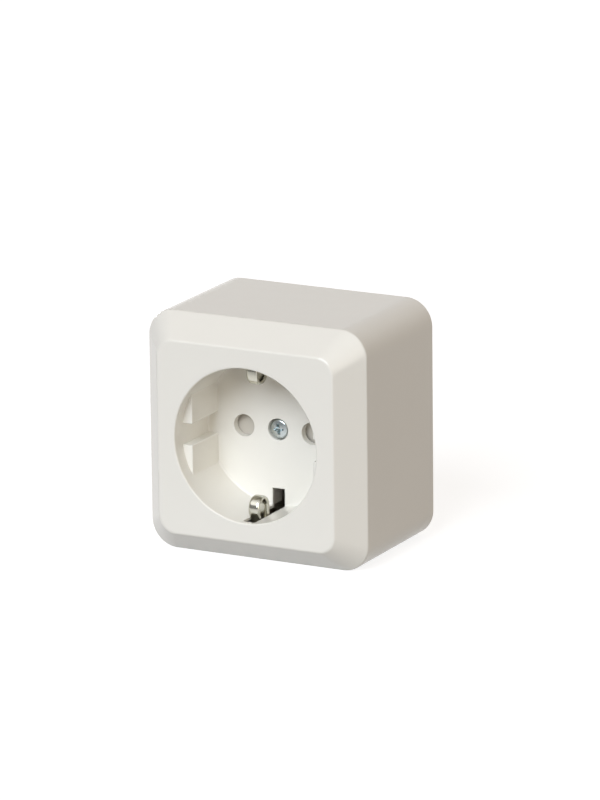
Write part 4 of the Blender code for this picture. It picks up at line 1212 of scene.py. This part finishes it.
@dataclass
class EarthStrap:
    """Nickel-plated strip: a bridge over the contact block with a sprung arch at each end."""

    shop: Workshop
    sheet: float = 1.1 * MM
    edge_depth: float = 0.5 * MM
    edge_reach: float = 0.85 * MM
    wide: float = 6.0 * MM
    narrow: float = 3.0 * MM
    leg_offset: float = 22.2 * MM
    taper_start: float = 18.8 * MM
    taper_length: float = 1.6 * MM
    strap_bend: float = 1.4 * MM
    crest: float = 14.75 * MM
    arch_back: float = 9.6 * MM
    arch_front: float = 4.5 * MM
    arch_bend: float = 2.6 * MM
    tail: float = 18.2 * MM
    tail_bend: float = 1.8 * MM
    tail_lean: float = 1.8 * MM
    arch_end: float = 21.4 * MM
    bend_steps: int = 14
    longest_row: float = 0.5 * MM
    ear_drop: float = 14.0 * MM
    ear_height: float = 6.5 * MM
    ear_reach: float = 10.4 * MM
    ear_corner: float = 0.8 * MM
    ear_screw_x: float = 7.4 * MM
    ear_hole: float = 1.85 * MM
    middle_hole: float = 1.8 * MM

    def __post_init__(self) -> None:
        """Reads the strap's back face and the cover's front from their nodes."""
        self.strap_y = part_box("earth_strap")[1].y - self.sheet / 2
        self.face_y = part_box("cover")[0].y

    def half_path(self) -> np.ndarray:
        """Centre line from the middle of the strap to the end of the upper spring.

        Returns:
            (y, z) points.
        """
        back, front = self.face_y + self.arch_back, self.face_y + self.arch_front
        path = rounded_path(
            [
                (self.strap_y, 0.0),
                (self.strap_y, self.leg_offset),
                (back, self.leg_offset),
                (back, self.crest),
                (front, self.crest),
                (front, self.tail),
                (front + self.tail_lean, self.arch_end),
            ],
            [self.strap_bend, self.strap_bend, self.arch_bend, self.arch_bend, self.tail_bend],
            self.bend_steps,
        )
        return refined(path, self.longest_row)

    def strip(self) -> Object:
        """Sweeps the strip's section along its whole centre line.

        The section is a flat bar whose edges are half ellipses, edge_reach deep across the strip
        and edge_depth high: x = width / 2 - reach (1 - cos a), thickness = depth sin a. Its half
        width goes from wide to narrow between the block and the springs by the smooth step
        s^2 (3 - 2 s).

        Returns:
            The strip without its ears and holes.
        """
        half = self.half_path()
        path = np.concatenate([(half * [1.0, -1.0])[:0:-1], half])
        along = np.gradient(path, axis=0)
        along /= np.linalg.norm(along, axis=1)[:, None]
        normal = np.stack([-along[:, 1], along[:, 0]], axis=1)
        flat = np.abs(path[:, 0] - self.strap_y) < self.sheet / 4
        share = np.clip((np.abs(path[:, 1]) - self.taper_start) / self.taper_length, 0.0, 1.0)
        share = share * share * (3 - 2 * share)
        width = np.where(flat, self.wide + (self.narrow - self.wide) * share, self.narrow)
        bend = np.linspace(0.0, math.pi / 2, 8)
        arc = (around(bend) - [1.0, 0.0]) * [self.edge_reach, self.edge_depth]
        arc[:, 1] += self.sheet / 2 - self.edge_depth
        across = np.repeat([1.0, -1.0, -1.0, 1.0], len(bend))
        inset = np.concatenate([arc[:, 0], arc[::-1, 0]] * 2)
        through = np.concatenate([arc[:, 1], arc[::-1, 1], -arc[:, 1], -arc[::-1, 1]])
        x = across * (width[:, None] / 2 + inset)
        y = path[:, :1] + through * normal[:, :1]
        z = path[:, 1:] + through * normal[:, 1:]
        return self.shop.solid("strip", np.stack([x, y, z], axis=-1))

    def ear(self, side: int) -> Object:
        """Flat ear beside the strap for an earth terminal screw, its outer corners round.

        Args:
            side: 1 for the right ear, -1 for the left.

        Returns:
            The ear, rooted in the strap.
        """
        low, high = -self.ear_drop - self.ear_height / 2, -self.ear_drop + self.ear_height / 2
        outline = rounded_path(
            [
                (self.wide / 4, low),
                (self.ear_reach, low),
                (self.ear_reach, high),
                (self.wide / 4, high),
            ],
            [self.ear_corner, self.ear_corner],
            steps=6,
        ) * [side, 1.0]
        ends = (self.strap_y - self.sheet / 2, self.strap_y + self.sheet / 2)
        return self.shop.prism("ear", outline, ends)

    def hole(self, x: float, z: float, radius: float) -> Object:
        """Round cutter through the strap.

        Args:
            x: place of its axis to the right.
            z: place of its axis upwards.
            radius: radius of the hole.

        Returns:
            The cutter.
        """
        ring = np.array([x, z]) + radius * around(half_step_angles(40))
        ends = (self.strap_y - self.sheet * 2, self.strap_y + self.sheet * 2)
        return self.shop.prism("hole", ring, ends)

    def build(self) -> Object:
        """Makes the strap and puts it in place of its node.

        Returns:
            The finished strap.
        """
        strap = self.strip()
        strap.name = "sprung_earth_strap"
        self.shop.shaped(strap, [self.ear(side) for side in (-1, 1)], Operation.JOIN)
        holes = [self.hole(0.0, 0.0, self.middle_hole)]
        for x in (-self.ear_screw_x, self.ear_screw_x):
            holes.append(self.hole(x, -self.ear_drop, self.ear_hole))
        self.shop.shaped(strap, holes, Operation.CUT)
        return self.shop.finished(strap, NICKEL_STRIP, Slot.NICKEL, ["earth_strap"])


@dataclass
class InnerParts:
    """The pieces behind the well, as softened copies of their nodes."""

    shop: Workshop
    moulded_edge: float = 0.15 * MM
    sheet_edge: float = 0.1 * MM
    nut_edge: float = 0.2 * MM

    def build(self) -> None:
        """Makes each inner piece with the edge and the finish that its making leaves."""
        plastics = {
            "base": "base_plate",
            "contact_block": "insulating_block",
            "contact_lid": "insulating_lid",
            "shutter_retainer": "retainer_plate",
        }
        for node, name in plastics.items():
            piece = self.shop.softened(name, node, self.moulded_edge)
            self.shop.finished(piece, INNER_PLASTIC, Slot.INNER, [node])
        shutter = self.shop.softened("turning_shutter", "shutter", self.moulded_edge)
        self.shop.finished(shutter, SHUTTER_PLASTIC, Slot.SHUTTER, ["shutter"], Body.SHUTTER)
        for pole in ("line", "neutral"):
            piece = self.shop.softened(f"{pole}_spring_contact", f"{pole}_contact", self.sheet_edge)
            self.shop.finished(piece, STAMPED_BRASS, Slot.BRASS, [f"{pole}_contact"])
        nut = self.shop.softened("square_nut", "cover_nut", self.nut_edge)
        self.shop.finished(nut, HARDWARE_STEEL, Slot.HARDWARE, ["cover_nut"])
        spring = self.shop.softened("return_spring", "shutter_spring", 0.0)
        self.shop.finished(spring, DRAWN_WIRE, Slot.WIRE, ["shutter_spring"], sharp=60.0)


@dataclass
class Terminals:
    """Clamp plates and screws of the six terminals, and the two screws of the contact block."""

    shop: Workshop
    names: tuple[str, ...] = (
        "line_upper",
        "line_lower",
        "neutral_upper",
        "neutral_lower",
        "earth_right",
        "earth_left",
    )
    plate_edge: float = 0.18 * MM

    def build(self) -> None:
        """Makes each plate and screw for its node."""
        for name in self.names:
            node = f"{name}_clamp_plate"
            plate = self.shop.softened(f"{name}_washer_plate", node, self.plate_edge)
            self.shop.finished(plate, HARDWARE_STEEL, Slot.HARDWARE, [node])
            screw = RecessedScrew(
                self.shop, f"{name}_terminal_screw", HARDWARE_STEEL, Slot.HARDWARE,
                head_radius=2.6 * MM, head_height=2.0 * MM, shank_radius=1.55 * MM,
            )
            screw.build(f"{name}_clamping_screw")
        for hand in ("right", "left"):
            screw = RecessedScrew(
                self.shop, f"block_screw_{hand}", HARDWARE_STEEL, Slot.HARDWARE,
                head_radius=2.6 * MM, head_height=1.7 * MM, shank_radius=1.3 * MM, pitch=0.9 * MM,
            )
            screw.build(f"block_fixing_screw_{hand}")


@dataclass
class PhotoCamera:
    """Camera fitted to the photograph's edges of the cover."""

    focal_px: float = 6355.0
    distance: float = 1583.9 * MM
    aim_depth: float = 18.2 * MM
    azimuth: float = 27.852
    elevation: float = 15.263
    roll: float = -0.661
    pan: float = -0.073
    tilt: float = -0.199
    frame_height_px: int = 800
    sensor: float = 36.0

    @staticmethod
    def backward(azimuth: float, elevation: float) -> Vector:
        """Unit vector from the object to a camera at two angles in degrees."""
        turn, rise = math.radians(azimuth), math.radians(elevation)
        return Vector((math.sin(turn) * math.cos(rise), -math.cos(turn) * math.cos(rise), math.sin(rise)))

    def build(self) -> None:
        """Makes the camera and sets it as the scene's own."""
        place = Vector((0.0, -self.aim_depth, 0.0))
        place += self.backward(self.azimuth, self.elevation) * self.distance
        ahead = -self.backward(self.azimuth + self.pan, self.elevation + self.tilt)
        level = ahead.cross(Vector((0.0, 0.0, 1.0))).normalized()
        upright = level.cross(ahead)
        cosine, sine = math.cos(math.radians(self.roll)), math.sin(math.radians(self.roll))
        right = level * cosine + upright * sine
        up = upright * cosine - level * sine
        data = bpy.data.cameras.new("photo_camera")
        data.sensor_width = self.sensor
        data.lens = self.focal_px / self.frame_height_px * self.sensor
        data.clip_start = 0.01
        data.clip_end = 50.0
        camera = bpy.data.objects.new("photo_camera", data)
        turned = Matrix((right, up, -ahead)).transposed().to_4x4()
        camera.matrix_world = Matrix.Translation(place) @ turned
        bpy.context.scene.collection.objects.link(camera)
        bpy.context.scene.camera = camera


@dataclass(frozen=True)
class Lamp:
    """Broad lamp far away, given by its direction in degrees and the angle that it fills."""

    title: str
    azimuth: float
    elevation: float
    strength: float
    colour: str
    spread: float = 38.0

    def build(self) -> None:
        """Makes the lamp."""
        data = bpy.data.lights.new(self.title, "SUN")
        data.energy = self.strength
        data.color = linear(self.colour)[:3]
        data.angle = math.radians(self.spread)
        lamp = bpy.data.objects.new(self.title, data)
        towards = PhotoCamera.backward(self.azimuth, self.elevation)
        lamp.matrix_world = towards.to_track_quat("Z", "Y").to_matrix().to_4x4()
        bpy.context.scene.collection.objects.link(lamp)


@dataclass
class Studio:
    """Pale floor, white surroundings, a broad key lamp, a fill to its right and one at the rear."""

    ambient: float = 0.158
    ambient_colour: str = "FFD39A"
    key: Lamp = Lamp("broad_key", azimuth=-2.0, elevation=35.0, strength=2.54, colour="ECF5FF")
    fill: Lamp = Lamp("broad_fill", azimuth=52.0, elevation=10.0, strength=0.8, colour="FFF9EE")
    rear: Lamp = Lamp(
        "broad_rear", azimuth=-135.0, elevation=2.5, strength=1.9, colour="FFFFFF", spread=5.0
    )
    flag_level: float = 0.3
    panel_level: float = 1.6
    flag_top: float = 0.4
    panel_bottom: float = 0.5
    panel_top: float = 0.75
    panel_fade: float = 0.88
    front_start: float = -0.1
    front_full: float = -0.4
    floor_colour: str = "A8A8A8"
    floor_glow: float = 0.84
    floor_far_glow: float = 0.35
    fade_start: float = 80.0 * MM
    fade_end: float = 250.0 * MM
    floor_half: float = 6.0

    @staticmethod
    def seen_directly(tree: NodeTree) -> NodeSocket:
        """Tells rays that a viewer follows from those that only carry light.

        Args:
            tree: node tree that takes the nodes.

        Returns:
            1 for rays from the camera, from glossy and from clear surfaces, and otherwise 0.
        """
        rays = add_node(tree, "ShaderNodeLightPath", {}, {}).outputs
        shown = rays["Is Camera Ray"]
        for kind in ("Is Glossy Ray", "Is Transmission Ray"):
            either = add_node(
                tree, "ShaderNodeMath", {"operation": "MAXIMUM"}, {0: shown, 1: rays[kind]}
            )
            shown = either.outputs[0]
        return shown

    def mirrored(self, tree: NodeTree) -> NodeSocket:
        """Brightness that glossy surfaces see in each direction.

        In front of the object a dark flag stands up to a sine of elevation of flag_top. A bright
        panel above it reaches from panel_bottom to panel_top and is gone at panel_fade. The front
        begins where a direction's Y is front_start and is full at front_full. All else is white
        at a level of 1.

        Args:
            tree: node tree of the surroundings.

        Returns:
            The level for glossy rays, and 1 for all others.
        """
        place = add_node(tree, "ShaderNodeTexCoord", {}, {})
        split = add_node(tree, "ShaderNodeSeparateXYZ", {}, {0: place.outputs["Generated"]})
        rise = add_node(
            tree, "ShaderNodeMapRange",
            {
                "From Min": self.flag_top, "From Max": self.panel_bottom,
                "To Min": self.flag_level, "To Max": self.panel_level,
            },
            {"Value": split.outputs["Z"]},
        )
        fall = add_node(
            tree, "ShaderNodeMapRange",
            {"From Min": self.panel_top, "From Max": self.panel_fade, "To Min": self.panel_level},
            {"Value": split.outputs["Z"]},
        )
        band = add_node(
            tree, "ShaderNodeMath", {"operation": "MINIMUM"},
            {0: rise.outputs["Result"], 1: fall.outputs["Result"]},
        )
        front = add_node(
            tree, "ShaderNodeMapRange", {"From Min": self.front_start, "From Max": self.front_full},
            {"Value": split.outputs["Y"]},
        )
        path = add_node(tree, "ShaderNodeLightPath", {}, {})
        share = add_node(
            tree, "ShaderNodeMath", {"operation": "MULTIPLY"},
            {0: front.outputs["Result"], 1: path.outputs["Is Glossy Ray"]},
        )
        return add_node(
            tree, "ShaderNodeMapRange", {"To Min": 1.0},
            {"Value": share.outputs[0], "To Max": band.outputs[0]},
        ).outputs["Result"]

    def world(self) -> None:
        """White surroundings that light the object at the ambient level."""
        world = bpy.data.worlds.new("white_surroundings")
        world.use_nodes = True
        tree = world.node_tree
        shown = self.seen_directly(tree)
        level = add_node(
            tree, "ShaderNodeMapRange", {"To Min": self.ambient},
            {"Value": shown, "To Max": self.mirrored(tree)},
        )
        colours = {"data_type": "RGBA", 6: linear(self.ambient_colour), 7: linear("FFFFFF")}
        tint = add_node(tree, "ShaderNodeMix", colours, {0: shown})
        background = tree.nodes["Background"]
        tree.links.new(tint.outputs[2], background.inputs["Color"])
        tree.links.new(level.outputs["Result"], background.inputs["Strength"])
        bpy.context.scene.world = world

    def paper_fade(self, tree: NodeTree) -> NodeSocket:
        """Glow of the floor, which glossy surfaces see fade over a stretch in front of the object.

        Args:
            tree: node tree of the floor.

        Returns:
            The floor's own level, and for glossy rays the faded one.
        """
        place = add_node(tree, "ShaderNodeTexCoord", {}, {})
        split = add_node(tree, "ShaderNodeSeparateXYZ", {}, {0: place.outputs["Object"]})
        faded = add_node(
            tree, "ShaderNodeMapRange",
            {
                "From Min": -self.fade_start, "From Max": -self.fade_end,
                "To Min": self.floor_glow, "To Max": self.floor_far_glow,
            },
            {"Value": split.outputs["Y"]},
        )
        path = add_node(tree, "ShaderNodeLightPath", {}, {})
        return add_node(
            tree, "ShaderNodeMapRange", {"To Min": self.floor_glow},
            {"Value": path.outputs["Is Glossy Ray"], "To Max": faded.outputs["Result"]},
        ).outputs["Result"]

    def floor(self) -> None:
        """Matt pale floor under the cover, whose own glow brings it up to the white around it."""
        made = bpy.data.materials.new("white_paper_sweep")
        made.use_nodes = True
        tree = made.node_tree
        tree.nodes.clear()
        paper = add_node(tree, "ShaderNodeBsdfDiffuse", {"Color": linear(self.floor_colour)}, {})
        shown = self.seen_directly(tree)
        level = add_node(
            tree, "ShaderNodeMath", {"operation": "MULTIPLY"}, {0: shown, 1: self.paper_fade(tree)}
        )
        glow = add_node(tree, "ShaderNodeEmission", {}, {"Strength": level.outputs[0]})
        both = add_node(tree, "ShaderNodeAddShader", {}, {0: paper.outputs[0], 1: glow.outputs[0]})
        add_node(tree, "ShaderNodeOutputMaterial", {}, {"Surface": both.outputs[0]})
        half, low = self.floor_half, CAD_BOX[0][2]
        mesh = bpy.data.meshes.new("floor")
        mesh.from_pydata(
            [(-half, -half, low), (half, -half, low), (half, half, low), (-half, half, low)],
            [],
            [(0, 1, 2, 3)],
        )
        mesh.materials.append(made)
        Workshop.place("floor", mesh)

    def build(self) -> None:
        """Sets the colour handling, the surroundings, the floor and the lamps."""
        bpy.context.scene.view_settings.view_transform = "Standard"
        self.world()
        self.floor()
        self.key.build()
        self.fill.build()
        self.rear.build()


def main() -> None:
    """Builds the camera, the studio and every sub-assembly in order."""
    logging.basicConfig(level=logging.INFO, format="%(name)s %(message)s")
    shop = Workshop()
    PhotoCamera().build()
    Studio().build()
    SocketCover(shop).build()
    cover_screw = RecessedScrew(
        shop, "cover_screw", ZINC_PLATE, Slot.ZINC,
        head_radius=2.5 * MM, head_height=1.4 * MM, shank_radius=1.5 * MM,
    )
    cover_screw.build("cover_fixing_screw")
    EarthStrap(shop).build()
    InnerParts(shop).build()
    Terminals(shop).build()


if __name__ == "__main__":
    main()
